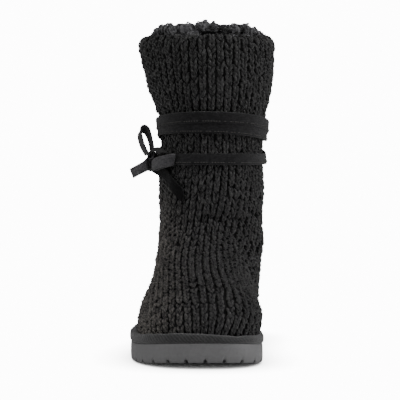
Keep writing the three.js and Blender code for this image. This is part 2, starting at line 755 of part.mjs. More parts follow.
// The tie round the shaft, three turns joined where they cross at the back.
function woundTie() {
  const end = TIE_ROWS[TIE_ROWS.length - 1].turn;
  let tie = null;
  for (let start = 0; start < end; start += 0.5) {
    const stop = Math.min(end, start + 0.52);
    const count = Math.ceil((stop - start) * TIE_STEPS_PER_TURN);
    const frames = Array.from({ length: count + 1 }, (_, i) => {
      return tieFrame(mix(start, stop, i / count));
    });
    const piece = strip(frames, TIE_WIDTH, TIE_THICKNESS);
    tie = tie ? tie.add(piece) : piece;
  }
  return tie;
}

// A flat free cord of the bow, through the points of its table.
function bowCord(rows) {
  const points = rows.map(({ turn, up, away }) =>
    shaftPoint(turn, up * COLLAR_HEIGHT, away * TIE_WIDTH),
  );
  const frames = rows.map(({ turn, up, twist }, i) => {
    const before = points[Math.max(0, i - 1)];
    const after = points[Math.min(points.length - 1, i + 1)];
    const along = unit(after.map((v, k) => v - before[k]));
    const z = up * COLLAR_HEIGHT;
    const near = shaftPoint(turn, z, 0);
    const level = unit(shaftPoint(turn + STEP_TURN, z, 0).map((v, k) => v - near[k]));
    const angle = (twist * Math.PI) / 180;
    const wide = level.map((v, k) => v * Math.cos(angle) + (k === 2 ? Math.sin(angle) : 0));
    const slip = wide.reduce((sum, w, k) => sum + w * along[k], 0);
    const across = unit(wide.map((w, k) => w - slip * along[k]));
    return { middle: points[i], across, out: cross(along, across) };
  });
  return strip(frames, TIE_WIDTH, TIE_THICKNESS);
}

const KNOT_LEVELS = [
  { up: -1, wide: 0.55 },
  { up: -0.75, wide: 0.85 },
  { up: 0, wide: 1 },
  { up: 0.75, wide: 0.85 },
  { up: 1, wide: 0.55 },
];
const KNOT_AROUND = 14;

// The knot: a rounded block standing against the wound tie on the outer side.
function knot() {
  const z = KNOT_UP * COLLAR_HEIGHT;
  const away = TIE_CLEARANCE + TIE_THICKNESS + GAP + KNOT_THROUGH / 2;
  const place = shaftPoint(0, z, away);
  return loft(
    KNOT_LEVELS.map(({ up, wide }) =>
      Array.from({ length: KNOT_AROUND }, (_, i) => {
        const angle = (i / KNOT_AROUND) * 2 * Math.PI;
        return [
          place[0] + (Math.cos(angle) * wide * KNOT_THROUGH) / 2,
          place[1] + (Math.sin(angle) * wide * KNOT_LONG) / 2,
          place[2] + (up * KNOT_TALL) / 2,
        ];
      }),
    ),
  );
}

// A named mesh from a solid.
function mesh(name, made, colour) {
  const { numProp, vertProperties, triVerts } = made.simplify(FLATNESS).getMesh();
  const geometry = new THREE.BufferGeometry();
  const positions = new Float32Array((vertProperties.length / numProp) * 3);
  for (let i = 0; i < positions.length / 3; i += 1) {
    for (let k = 0; k < 3; k += 1) positions[i * 3 + k] = vertProperties[i * numProp + k];
  }
  geometry.setAttribute("position", new THREE.BufferAttribute(positions, 3));
  geometry.setIndex(new THREE.BufferAttribute(new Uint32Array(triVerts), 1));
  geometry.computeVertexNormals();
  const material = new THREE.MeshStandardMaterial({ metalness: 0, ...COLOURS[colour] });
  const made3d = new THREE.Mesh(geometry, material);
  made3d.name = name;
  return made3d;
}

const boot = new THREE.Group();
boot.add(
  mesh("outsole", outsole(), "rubber"),
  mesh("rand", rand(), "rand"),
  mesh("upper", knitUpper(), "knit"),
  mesh("footbed", footbed(), "footbed"),
  mesh("fleece_collar", fleeceCollar(), "fleece"),
  mesh("wound_tie", woundTie(), "suede"),
);

// The origin is on the floor under the middle of the boot's box, measured without the bow.
const box = new THREE.Box3().setFromObject(boot);
const middle = box.getCenter(new THREE.Vector3());
boot.add(
  mesh("tie_knot", knot(), "suede"),
  mesh("tie_loop_high", bowCord(LOOP_HIGH), "suede"),
  mesh("tie_loop_front", bowCord(LOOP_FRONT), "suede"),
  mesh("tie_tail_low", bowCord(TAIL_LOW), "suede"),
  mesh("tie_tail_hanging", bowCord(TAIL_HANGING), "suede"),
);
boot.position.set(-middle.x, -middle.y, -box.min.z);

export default boot;
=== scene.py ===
"""Looks for the right sweater boot: knit upper, curly fleece, rubber sole, rand and wound suede lace."""

import math
from types import SimpleNamespace

import bpy
import numpy as np
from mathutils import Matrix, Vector


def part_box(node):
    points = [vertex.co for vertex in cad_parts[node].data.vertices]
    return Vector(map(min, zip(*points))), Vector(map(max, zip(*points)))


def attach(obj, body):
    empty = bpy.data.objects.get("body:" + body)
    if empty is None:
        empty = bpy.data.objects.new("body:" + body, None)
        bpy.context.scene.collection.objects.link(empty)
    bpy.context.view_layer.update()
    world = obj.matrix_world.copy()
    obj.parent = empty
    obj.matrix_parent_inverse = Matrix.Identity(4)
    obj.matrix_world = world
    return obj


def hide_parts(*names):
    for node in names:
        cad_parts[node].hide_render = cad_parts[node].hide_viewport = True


bl_info = {
    "name": "Right sweater boot",
    "version": (1, 0, 0),
    "blender": (4, 5, 0),
    "location": "View3D > Sidebar > Boot",
    "description": "Knit, fleece, rubber sole, rand and wound lace for a right boot",
    "category": "Object",
}

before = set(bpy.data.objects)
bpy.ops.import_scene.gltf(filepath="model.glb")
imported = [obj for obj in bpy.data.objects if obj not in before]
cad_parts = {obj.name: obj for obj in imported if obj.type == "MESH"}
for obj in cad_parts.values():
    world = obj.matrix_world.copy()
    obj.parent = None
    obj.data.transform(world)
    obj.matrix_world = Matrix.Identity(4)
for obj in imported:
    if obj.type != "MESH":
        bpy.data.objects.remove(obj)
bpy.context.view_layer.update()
MM = 0.001
SEED = 41

# The shaft and heel from the floor to the collar, by the same table as the solids. up is 0 at the floor,
# 1 at the ankle and 2 at the collar; outer and inner are shares of the shaft's width, front and back of
# its depth.
SHAFT_COLUMNS = ("up", "outer", "inner", "front", "back")
SHAFT_ROWS = (
    (0.0, 0.4, 0.37, 0.45, 0.56),
    (0.21, 0.418, 0.388, 0.45, 0.567),
    (0.34, 0.442, 0.418, 0.45, 0.581),
    (0.5, 0.462, 0.448, 0.45, 0.577),
    (0.84, 0.497, 0.503, 0.47, 0.524),
    (1.0, 0.491, 0.488, 0.478, 0.503),
    (1.12, 0.502, 0.501, 0.497, 0.5),
    (1.3, 0.498, 0.5, 0.5, 0.497),
    (1.42, 0.478, 0.491, 0.484, 0.48),
    (1.53, 0.482, 0.506, 0.482, 0.477),
    (1.62, 0.536, 0.54, 0.505, 0.495),
    (1.72, 0.6, 0.58, 0.53, 0.52),
    (1.84, 0.656, 0.6, 0.547, 0.537),
    (1.93, 0.694, 0.607, 0.555, 0.545),
    (2.0, 0.696, 0.602, 0.55, 0.54),
)
# The top line of the foot, by shares of the sole's length and of the instep's height.
RIDGE_COLUMNS = ("at", "ridge")
RIDGE_ROWS = (
    (0.0, 0.47),
    (0.14, 0.535),
    (0.25, 0.592),
    (0.34, 0.66),
    (0.42, 0.75),
    (0.47, 0.85),
    (0.52, 1.02),
    (0.6, 1.3),
    (1.0, 1.5),
)
# The planes that cut foot and ankle: share of the sole's length, share of the instep's height, degrees
# leant from upright towards the toe, share of the shaft's inward shift.
PLANE_COLUMNS = ("step", "at", "up", "lean", "side")
PLANE_ROWS = (
    (0, 0.122, 0.067, 80, 0.35),
    (1, 0.14, 0.12, 60, 0.3),
    (2, 0.165, 0.17, 42, 0.24),
    (3, 0.195, 0.21, 27, 0.16),
    (4, 0.235, 0.25, 14, 0.08),
    (5, 0.29, 0.28, 5, 0.0),
    (6, 0.37, 0.3, 0, 0.05),
    (7, 0.45, 0.32, 2, 0.2),
    (8, 0.53, 0.37, 12, 0.45),
    (9, 0.61, 0.44, 28, 0.68),
    (10, 0.66, 0.53, 43, 0.84),
    (11, 0.69, 0.6, 56, 0.92),
    (12, 0.715, 0.69, 68, 0.96),
    (13, 0.73, 0.82, 80, 1.0),
    (14, 0.7356, 0.96, 90, 1.0),
)
# The tie's height, by turns from the knot round the front, as a share of the collar's.
TIE_COLUMNS = ("turn", "up")
TIE_ROWS = (
    (0.0, 0.601),
    (0.2, 0.6035),
    (0.45, 0.605),
    (0.7, 0.645),
    (0.95, 0.69),
    (1.2, 0.7035),
    (1.45, 0.677),
    (1.7, 0.69),
    (1.95, 0.712),
    (2.2, 0.7365),
    (2.45, 0.704),
    (2.7, 0.655),
    (2.99, 0.6),
)
# The bow's flat cords, as points off the shaft: turn from the knot, share of the collar's height, share
# of the tie's width away from the knit, and the twist of the width from level up, in degrees.
LOOP_HIGH = (
    (0.006, 0.614, 1.3, 12),
    (0.006, 0.6345, 1.7, 14),
    (0.006, 0.656, 1.98, 18),
    (0.006, 0.6775, 2.12, 28),
    (0.006, 0.6925, 2.05, 42),
    (0.006, 0.6996, 1.82, 48),
    (0.006, 0.6935, 1.54, 42),
    (0.006, 0.6782, 1.31, 28),
    (0.006, 0.6609, 1.14, 18),
    (0.006, 0.6456, 1.02, 14),
    (0.006, 0.6291, 0.92, 12),
)
KNOT_BAND = (
    (0.078, 0.6195, 0.42, 78),
    (0.056, 0.6275, 0.56, 66),
    (0.034, 0.6325, 0.74, 48),
    (0.014, 0.6285, 0.95, 26),
    (0.002, 0.6165, 1.09, 12),
    (-0.002, 0.599, 1.13, 8),
    (0.001, 0.5815, 1.05, 10),
    (0.009, 0.5695, 0.84, 22),
    (0.024, 0.568, 0.6, 50),
)
THROUGH_KNOT_LOW = (
    (0.004, 0.612, 0.84, 40),
    (0.003, 0.596, 0.9, 80),
)
TAIL_LOW = (
    (0.004, 0.5815, 1.25, 112),
    (0.004, 0.5739, 1.632, 122),
    (0.004, 0.566, 2.063, 126),
    (0.004, 0.5596, 2.4, 126),
    (0.004, 0.554, 2.674, 126),
)
LOOP_FRONT = (
    (0.024, 0.5794, 0.571, 84),
    (0.05, 0.5854, 0.529, 80),
    (0.08, 0.592, 0.498, 78),
    (0.106, 0.5985, 0.487, 77),
    (0.117, 0.6012, 0.529, 77),
    (0.1215, 0.6024, 0.666, 77),
    (0.117, 0.6012, 0.813, 77),
    (0.106, 0.599, 0.89, 77),
    (0.08, 0.5935, 0.93, 78),
    (0.05, 0.587, 0.9, 80),
    (0.028, 0.5809, 0.84, 84),
)
THROUGH_KNOT_HANGING = (
    (0.01, 0.578, 0.72, 88),
    (0.03, 0.569, 0.44, 90),
    (0.054, 0.564, 0.34, 90),
)
TAIL_HANGING = (
    (0.08, 0.557, 0.34, 90),
    (0.1, 0.543, 0.34, 90),
    (0.118, 0.5255, 0.34, 90),
    (0.135, 0.5065, 0.34, 90),
    (0.15, 0.487, 0.34, 90),
)

# Soft folds pressed into the knit: side is a share of the shaft's width from its middle, up a share of
# the instep's height, droop how far the ends fall, reach the half length, wide and deep in millimetres.
FOLD_COLUMNS = ("side", "up", "droop", "reach", "wide", "deep")
FRONT_FOLDS = (
    (0.04, 0.905, 0.05, 0.3, 3.4, 1.8),
    (0.02, 0.85, 0.05, 0.34, 6.0, -0.4),
    (0.05, 0.965, 0.05, 0.42, 6.0, -0.4),
    (-0.08, 0.78, 0.03, 0.26, 5.5, 0.4),
)


def length(name, description, millimetres):
    """A size that the sidebar shows as a length."""
    return bpy.props.FloatProperty(
        name=name, description=description, default=millimetres * MM, unit="LENGTH", subtype="DISTANCE"
    )


def number(name, description, value):
    """A plain number."""
    return bpy.props.FloatProperty(name=name, description=description, default=value)


def colour(name, description, value):
    """A linear colour."""
    return bpy.props.FloatVectorProperty(
        name=name, description=description, default=value, subtype="COLOR", min=0, max=1
    )


class BootSizes(bpy.types.PropertyGroup):
    """The boot's lengths; the knit's two blends and its roll are softer than the solids'."""

    sole_length: length("Sole length", "Toe tip to the back of the heel", 278)
    ball_width: length("Ball width", "Width of the sole at the ball", 104.3)
    heel_width: length("Heel width", "Width of the sole at the heel", 78)
    arch_waist: length("Arch waist", "How far the inner edge draws in", 5)
    toe_tip_shift: length("Toe tip shift", "Toe tip inwards of the ball's middle", 7.1)
    heel_shift: length("Heel shift", "Heel inwards of the ball's middle", 12.7)
    shaft_shift: length("Shaft shift", "Shaft inwards of the ball's middle", 12.7)
    inner_toe: length("Inner toe", "Length of the toe's curve on the inner side", 55)
    outer_toe: length("Outer toe", "Length of the toe's curve on the outer side", 95)
    heel_round: length("Heel round", "Length of the heel's curve", 45)
    sole_forefoot: length("Forefoot sole", "Thickness under the forefoot", 15)
    sole_heel: length("Heel sole", "Thickness under the heel", 24)
    toe_spring: length("Toe spring", "Rise of the toe tip", 5.5)
    spring_length: length("Spring length", "Length of the toe spring", 70)
    heel_roll: length("Heel roll", "Rise of the sole's back edge", 1.5)
    roll_length: length("Roll length", "Length of the heel's roll", 16)
    arch_hollow: length("Arch hollow", "Rise of the sole under the arch", 2)
    groove_wide: length("Groove width", "Width of a notch in the sole's edge", 3)
    groove_tall: length("Groove height", "Height of a notch in the sole's edge", 2.6)
    groove_reach: length("Groove reach", "How far a notch runs under the sole", 13)
    groove_pitch: length("Groove pitch", "Distance between notches", 14.7)
    ledge: length("Ledge", "From the sole's edge in to the knit", 3.6)
    ankle_height: length("Ankle height", "From the floor", 104)
    instep_height: length("Instep height", "From the floor", 120)
    collar_height: length("Collar height", "Top of the knit, from the floor", 261)
    shaft_width: length("Shaft width", "Side to side", 88.8)
    shaft_depth: length("Shaft depth", "Front to back", 123)
    shaft_from_heel: length("Shaft from heel", "From the sole's back to the shaft's middle", 73.5)
    puff: length("Knit puff", "How far the knit swells out over its foot", 2.4)
    puff_height: length("Puff height", "Height of that swell", 42)
    instep_blend: length("Instep blend", "Softness of the hollow at the instep", 32)
    side_blend: length("Side blend", "Softness of the joint at the sides", 16)
    cuff_roll: length("Cuff roll", "Height of the knit's rolled top", 7.5)
    rib_depth: length("Rib depth", "From a rib's crest to the gutter", 3.0)
    stitch: length("Stitch pitch", "From stitch to stitch along a rib", 4.4)
    yarn: length("Yarn", "Thickness of the yarn", 2.15)
    rand_height: length("Rand height", "Above the sole's edge", 7.6)
    rand_bulge: length("Rand bulge", "Proud of the sole's edge", 0.8)
    fleece_thick: length("Fleece thickness", "Across the collar", 8.5)
    curl: length("Curl", "Width of one curl of the fleece", 4.4)
    tie_width: length("Lace width", "Of the flat lace", 9.5)
    tie_thick: length("Lace thickness", "Of the flat lace", 1.8)
    tie_clear: length("Lace clearance", "Off the crests of the ribs", 1.25)
    tie_lift: length("Turn lift", "How far each turn lies over the last", 0.2)


class BootShape(bpy.types.PropertyGroup):
    """The boot's plain numbers."""

    toe_squareness: number("Toe squareness", "Power of the toe's curve", 2.62)
    heel_squareness: number("Heel squareness", "Power of the heel's curve", 2.2)
    shaft_squareness: number("Shaft squareness", "Power of the shaft's oval", 2.15)
    knot_turn: number("Knot", "Share of a turn from the front by the inner side", 0.795)
    rib_count: bpy.props.IntProperty(name="Ribs", description="Round the boot", default=52)


class BootColours(bpy.types.PropertyGroup):
    """The boot's colours."""

    yarn_dark: colour("Yarn, deep", "Between the plies", (0.0045, 0.0045, 0.0047))
    yarn_light: colour("Yarn, raised", "On the crest of the plies", (0.05, 0.0495, 0.049))
    # The fleece's deep colour also serves as the painted shade in the hollows between its lumps.
    fleece_dark: colour("Fleece, deep", "Between the curls", (0.004, 0.004, 0.0044))
    fleece_light: colour("Fleece, tips", "On the curls", (0.1, 0.0985, 0.1045))
    suede: colour("Suede", "Flat lace", (0.0038, 0.0037, 0.004))
    suede_nap: colour("Suede nap", "Brushed nap of the lace", (0.0145, 0.0141, 0.015))
    rubber: colour("Rubber", "Sole", (0.104, 0.1032, 0.1052))
    rand: colour("Rand", "Strip on the sole's edge", (0.009, 0.009, 0.0094))
    rand_light: colour("Rand, raised", "Its raised threads", (0.046, 0.046, 0.0468))
    thread: colour("Thread", "Seam on the lace", (0.05, 0.0488, 0.0465))
    felt: colour("Felt, deep", "Footbed", (0.012, 0.012, 0.013))
    felt_light: colour("Felt, raised", "Nap of the footbed", (0.04, 0.04, 0.041))


def sizes():
    """The boot's lengths in millimetres, with its plain numbers."""
    scene = bpy.context.scene
    values = {name: getattr(scene.boot_sizes, name) / MM for name in BootSizes.__annotations__}
    values.update({name: getattr(scene.boot_shape, name) for name in BootShape.__annotations__})
    return SimpleNamespace(**values)


def mix(a, b, t):
    """A value between a and b."""
    return a + (b - a) * t


def ease(t):
    """0 to 1 with a soft start and end."""
    t = np.clip(t, 0, 1)
    return t * t * (3 - 2 * t)


def run_along(points):
    """How far along its path each point lies."""
    return np.concatenate([[0], np.cumsum(np.linalg.norm(np.diff(points, axis=0), axis=1))])


def unit(v):
    """Vectors of length one."""
    return v / np.maximum(np.linalg.norm(v, axis=-1, keepdims=True), 1e-9)


def square_to(vectors, axis):
    """Unit vectors with what runs along an axis taken out."""
    return unit(vectors - np.sum(vectors * axis, -1, keepdims=True) * axis)


def at_places(places, run, values):
    """Rows of values met at places along a path whose points lie at run."""
    return np.stack([np.interp(places, run, values[:, k]) for k in range(values.shape[1])], -1)


def across_columns(grid):
    """From the column before to the column after, round each row of a grid of points."""
    return np.roll(grid, -1, 1) - np.roll(grid, 1, 1)


def column_at(columns, rows, name, value):
    """A table's column at any values of its first column, on a smooth curve through the rows."""
    table = np.array(rows, float)
    keys, column = table[:, 0], table[:, columns.index(name)]
    value = np.asarray(value, float)
    last = len(keys) - 1
    i = np.clip(np.searchsorted(keys, value, side="left") - 1, 0, last - 1)
    before, after = np.maximum(i - 1, 0), np.minimum(i + 2, last)
    step = keys[i + 1] - keys[i]
    t = np.clip((value - keys[i]) / step, 0, 1)
    slope_a = (column[i + 1] - column[before]) / (keys[i + 1] - keys[before]) * step
    slope_b = (column[after] - column[i]) / (keys[after] - keys[i]) * step
    return (
        (2 * t**3 - 3 * t**2 + 1) * column[i]
        + (t**3 - 2 * t**2 + t) * slope_a
        + (3 * t**2 - 2 * t**3) * column[i + 1]
        + (t**3 - t**2) * slope_b
    )


def oval_end(t, squareness):
    """How wide a rounded end is, by the share of its length from the tip."""
    return (1 - np.clip(1 - t, 0, 1) ** squareness) ** (1 / squareness)


class BootForm:
    """The boot's form in millimetres: x from the ball's middle, d from the toe tip, z from the floor."""

    FAR = 66  # half the width of the chart of depths inside the outline
    MARGIN = 20.0  # the chart runs on past the sole's ends by this
    CHART_POINTS = 170
    RING_POINTS = 400
    CROWDED_ENDS = 0.9  # how much closer the outline's points lie at its two ends
    FINE = 80  # rays to each side of the ridge
    MARCH = 5
    REFINE = 12
    ARCH_FROM = 0.42  # shares of the sole's length
    ARCH_LONG = 0.28
    HEEL_FROM = 0.38
    HEEL_LONG = 0.42
    DOME_SIDE = 2.2  # powers of the foot's round back
    DOME_TOP = 1.9
    SIDE_AT = 1.3  # radians from the ridge to where the joint is a side joint

    def __init__(self):
        self.s = sizes()
        self.shaft_d = self.s.sole_length - self.s.shaft_from_heel
        ring = self.outline(self.CHART_POINTS)
        self.chart = self.chart_depths(ring)
        low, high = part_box("outsole")
        self.x_to_row = low.x / MM - ring[:, 0].min()
        self.d_to_row = (low.y + high.y) / 2 / MM - self.s.sole_length / 2

    def to_row(self, points):
        """Metres in the frame of the solids."""
        points = np.asarray(points, float)
        return (points + np.array([self.x_to_row, self.d_to_row, 0.0])) * MM

    def edge_x(self, sign, d):
        """The x of the sole's inner (1) or outer (-1) edge."""
        s = self.s
        d = np.asarray(d, float)
        ball = sign * s.ball_width / 2
        heel = s.heel_shift + sign * s.heel_width / 2
        toe_length = s.inner_toe if sign > 0 else s.outer_toe
        heel_start = s.sole_length - s.heel_round
        toe = mix(s.toe_tip_shift, ball, oval_end(d / toe_length, s.toe_squareness))
        back = mix(s.heel_shift, heel, oval_end((s.sole_length - d) / s.heel_round, s.heel_squareness))
        along = (d - toe_length) / (heel_start - toe_length)
        waist = s.arch_waist * np.sin(np.pi * np.clip(along, 0, 1)) ** 2 if sign > 0 else 0
        middle = mix(ball, heel, ease(along)) - waist
        return np.where(d <= toe_length, toe, np.where(d >= heel_start, back, middle))

    def outline(self, count):
        """The outline as a closed ring of (x, d), up the inner side and back along the outer."""
        t = np.arange(count + 1) / count
        d = self.s.sole_length * mix(t, (1 - np.cos(np.pi * t)) / 2, self.CROWDED_ENDS)
        inner = np.stack([self.edge_x(1, d), d], 1)
        back = d[1:-1][::-1]
        return np.concatenate([inner, np.stack([self.edge_x(-1, back), back], 1)])

    def outline_at(self, shares):
        """Points of the outline at shares of its length, with their outward normals and its length."""
        ring = self.outline(self.RING_POINTS)
        closed = np.concatenate([ring, ring[:1]])
        along = run_along(closed)
        around = along[-1]

        def place(share):
            want = (share % 1) * around
            return at_places(want, along, closed)

        step = unit(place(shares + 1 / around) - place(shares - 1 / around))
        return place(shares), np.stack([step[:, 1], -step[:, 0]], 1), around

    def chart_depths(self, ring):
        """How deep inside the outline each point of a 1 mm chart lies; negative outside."""
        x = np.arange(-self.FAR, self.FAR + 1.0)
        d = np.arange(-self.MARGIN, self.s.sole_length + self.MARGIN + 1)
        grid = np.stack(np.meshgrid(x, d, indexing="ij"), -1)
        best = np.full(grid.shape[:2], np.inf)
        for a, b in zip(ring, np.roll(ring, -1, 0)):
            edge = b - a
            t = np.clip(((grid - a) @ edge) / (edge @ edge), 0, 1)
            best = np.minimum(best, np.linalg.norm(grid - a - t[..., None] * edge, axis=-1))
        level = np.clip(d, 0, self.s.sole_length)
        inside = (grid[..., 0] > self.edge_x(-1, level)) & (grid[..., 0] < self.edge_x(1, level))
        inside &= (d > 0) & (d < self.s.sole_length)
        return np.where(inside, best, -best)

    def depth_inside(self, x, d):
        """How deep inside the outline points lie."""
        column = np.clip(x + self.FAR, 0, self.chart.shape[0] - 1.001)
        row = np.clip(d + self.MARGIN, 0, self.chart.shape[1] - 1.001)
        i, j = column.astype(int), row.astype(int)
        u, v = column - i, row - j
        chart = self.chart
        return mix(mix(chart[i, j], chart[i + 1, j], u), mix(chart[i, j + 1], chart[i + 1, j + 1], u), v)

    def spring(self, d):
        """The rise of the toe."""
        return self.s.toe_spring * np.maximum(0, 1 - d / self.s.spring_length) ** 2

    def sole_bottom(self, d):
        """The underside of the sole."""
        s = self.s
        roll = s.heel_roll * np.maximum(0, 1 - (s.sole_length - d) / s.roll_length) ** 2
        arch = np.clip((d / s.sole_length - self.ARCH_FROM) / self.ARCH_LONG, 0, 1)
        return self.spring(d) + roll + s.arch_hollow * np.sin(np.pi * arch) ** 2

    def sole_top(self, d):
        """The top of the sole."""
        s = self.s
        rise = ease((d / s.sole_length - self.HEEL_FROM) / self.HEEL_LONG)
        return self.spring(d) + mix(s.sole_forefoot, s.sole_heel, rise)

    def inside_foot(self, x, d, z, inset):
        """Whether points are inside the foot, drawn in by inset."""
        s = self.s
        base = self.sole_top(d)
        level = np.clip(d, s.inner_toe, s.sole_length - s.heel_round)
        half = (self.edge_x(1, level) - self.edge_x(-1, level)) / 2 - s.ledge
        puff = s.puff * np.sin(np.pi * np.clip((z - base) / s.puff_height, 0, 1))
        depth = self.depth_inside(x, d) - s.ledge + puff - inset
        dome = (1 - (1 - np.clip(depth / half, 0, 1)) ** self.DOME_SIDE) ** (1 / self.DOME_TOP)
        share = column_at(RIDGE_COLUMNS, RIDGE_ROWS, "ridge", d / s.sole_length)
        top = base + (share * s.instep_height - inset - base) * dome
        return (z >= 0) & (depth > 0) & (z < top)

    def inside_shaft(self, x, d, z, inset):
        """Whether points are inside the shaft and heel, drawn in by inset."""
        s = self.s
        above = 1 + (z - s.ankle_height) / (s.collar_height - s.ankle_height)
        up = np.minimum(2, np.where(z <= s.ankle_height, z / s.ankle_height, above))
        side, along = x - s.shaft_shift, d - self.shaft_d
        share = {n: column_at(SHAFT_COLUMNS, SHAFT_ROWS, n, up) for n in SHAFT_COLUMNS[1:]}
        half_side = np.where(side < 0, share["outer"], share["inner"]) * s.shaft_width - inset
        half_along = np.where(along < 0, share["front"], share["back"]) * s.shaft_depth - inset
        power = s.shaft_squareness
        return (z >= 0) & (
            np.abs(side / half_side) ** power + np.abs(along / half_along) ** power < 1
        )

    def foot_planes(self, steps):
        """Cutting planes at steps of the table: middle (x, d, z), forward and upward parts."""
        s = self.s
        at, up, lean, side = (column_at(PLANE_COLUMNS, PLANE_ROWS, n, steps) for n in PLANE_COLUMNS[1:])
        lean = np.radians(lean)
        middle = np.stack([s.shaft_shift * side, at * s.sole_length, up * s.instep_height], -1)
        return middle, np.sin(lean), np.cos(lean)

    def level_planes(self, z):
        """Level cutting planes of the shaft."""
        z = np.asarray(z, float)
        flat = np.zeros_like(z)
        middle = np.stack([flat + self.s.shaft_shift, flat + self.shaft_d, z], -1)
        return middle, flat + 1, flat

    @staticmethod
    def on_planes(planes, angle, radius):
        """Points of planes at an angle from the ridge, round by the inner side."""
        middle, forward, upward = planes
        rise = radius * np.cos(angle)
        x = middle[..., 0][:, None] + radius * np.sin(angle)
        d = middle[..., 1][:, None] - rise * forward[:, None]
        return x, d, middle[..., 2][:, None] + rise * upward[:, None]

    def reach(self, inside, planes, angle, inset):
        """How far each ray runs before it leaves the form."""
        low = np.zeros(np.broadcast_shapes((len(planes[1]), 1), angle.shape))
        live = inside(*self.on_planes(planes, angle, low + 0.01), inset)
        started = live.copy()
        while live.any():
            live = live & inside(*self.on_planes(planes, angle, low + self.MARCH), inset)
            low = np.where(live, low + self.MARCH, low)
        high = low + self.MARCH
        for _ in range(self.REFINE):
            middle = (low + high) / 2
            within = inside(*self.on_planes(planes, angle, middle), inset)
            low, high = np.where(within, middle, low), np.where(within, high, middle)
        return np.where(started, low, 0)

    def radius(self, planes, angle, inset=0.0):
        """The surface along rays: foot and shaft joined with a soft hollow at the instep."""
        s = self.s
        angle = np.atleast_2d(angle)
        foot = self.reach(self.inside_foot, planes, angle, inset)
        shaft = self.reach(self.inside_shaft, planes, angle, inset)
        from_ridge = np.abs(np.arctan2(np.sin(angle), np.cos(angle)))
        blend = mix(s.instep_blend, s.side_blend, ease(from_ridge / self.SIDE_AT))
        near = np.clip(1 - np.abs(foot - shaft) / blend, 0, 1)
        return np.maximum(foot, shaft) + near * near * blend / 4

    def sections(self, planes, around, inset=0.0):
        """Closed sections of evenly spaced points: planes by around by xyz, from the ridge inwards."""
        half = around // 2
        sides = []
        for sign in (1, -1):
            angle = sign * np.pi * np.arange(self.FINE + 1) / self.FINE
            radius = self.radius(planes, angle, inset)
            points = np.stack(self.on_planes(planes, angle[None, :], radius), -1)
            along = np.cumsum(np.linalg.norm(np.diff(points, axis=1), axis=-1), axis=1)
            along = np.concatenate([np.zeros((len(along), 1)), along], 1)
            want = np.arange(half + 1) / half
            sides.append(np.array([at_places(want * a[-1], a, p) for a, p in zip(along, points)]))
        return np.concatenate([sides[0], sides[1][:, 1:-1][:, ::-1]], 1)

    def shaft_point(self, turn, z, away):
        """Points off the shaft: turns from the knot by the front, a height, a distance from the knit."""
        turn, z, away = np.broadcast_arrays(*(np.atleast_1d(np.asarray(v, float)) for v in (turn, z, away)))
        planes = self.level_planes(z)
        angle = ((self.s.knot_turn + turn) * 2 * np.pi)[:, None]
        radius = self.radius(planes, angle) + away[:, None]
        return np.stack(self.on_planes(planes, angle, radius), -1)[:, 0]


def quads_of_grid(rows, columns):
    """Quads between the rows of a grid of points, each row a closed ring."""
    row = np.arange(rows - 1)[:, None] * columns
    here = np.arange(columns)
    beyond = (here + 1) % columns
    corners = (row + here, row + beyond, row + columns + beyond, row + columns + here)
    return np.stack([corner.ravel() for corner in corners], 1)


def turned_outward(points, quads):
    """The quads, turned so that they enclose a positive volume."""
    a, b, c, d = (points[quads[:, k]] for k in range(4))
    middle = points.mean(0)
    volume = np.einsum("ij,ij->", a - middle, np.cross(b - middle, c - middle))
    volume += np.einsum("ij,ij->", a - middle, np.cross(c - middle, d - middle))
    return quads if volume > 0 else quads[:, ::-1]


def make_piece(form, name, points, quads, material, uvs=None):
    """A mesh object of quads, from points in the boot's millimetres."""
    quads = turned_outward(points, quads)
    mesh = bpy.data.meshes.new(name)
    mesh.vertices.add(len(points))
    mesh.vertices.foreach_set("co", form.to_row(points).ravel())
    mesh.loops.add(quads.size)
    mesh.loops.foreach_set("vertex_index", quads.ravel().astype(np.int32))
    mesh.polygons.add(len(quads))
    mesh.polygons.foreach_set("loop_start", (np.arange(len(quads)) * 4).astype(np.int32))
    mesh.polygons.foreach_set("use_smooth", np.full(len(quads), True))
    mesh.update(calc_edges=True)
    if uvs is not None:
        layer = mesh.uv_layers.new(name="along")
        layer.uv.foreach_set("vector", uvs[quads.ravel()].ravel())
    mesh.validate()
    piece = bpy.data.objects.new(name, mesh)
    bpy.context.scene.collection.objects.link(piece)
    mesh.materials.append(material)
    return piece


def tubes(paths, outward, radii, sides):
    """Many tubes at once: paths and outward are tubes by steps by xyz, radii tubes by steps."""
    count, steps = paths.shape[:2]
    along = unit(np.gradient(paths, axis=1))
    up = square_to(outward, along)
    across = np.cross(along, up)
    angle = 2 * np.pi * np.arange(sides) / sides
    ring = np.cos(angle)[:, None] * up[:, :, None] + np.sin(angle)[:, None] * across[:, :, None]
    points = paths[:, :, None] + radii[:, :, None, None] * ring
    quads = quads_of_grid(steps, sides)
    quads = (quads[None] + (np.arange(count) * steps * sides)[:, None, None]).reshape(-1, 4)
    run = np.cumsum(np.linalg.norm(np.diff(paths, axis=1), axis=-1), axis=1)
    run = np.concatenate([np.zeros((count, 1)), run], 1)
    u = np.broadcast_to(np.arange(sides) / sides, (count, steps, sides))
    v = np.broadcast_to(run[:, :, None], (count, steps, sides))
    return points.reshape(-1, 3), quads, np.stack([u, v], -1).reshape(-1, 2)


def smooth_path(points, steps):
    """A smooth curve through points, with steps samples to each."""
    points = np.asarray(points, float)
    keys = run_along(points)
    want = np.linspace(0, keys[-1], steps * (len(points) - 1) + 1)
    columns = tuple(range(points.shape[1] + 1))
    rows = np.concatenate([keys[:, None], points], 1)
    return np.stack([column_at(columns, rows, k, want) for k in columns[1:]], 1)


# Materials

SHEEN_ROUGHNESS = 0.5


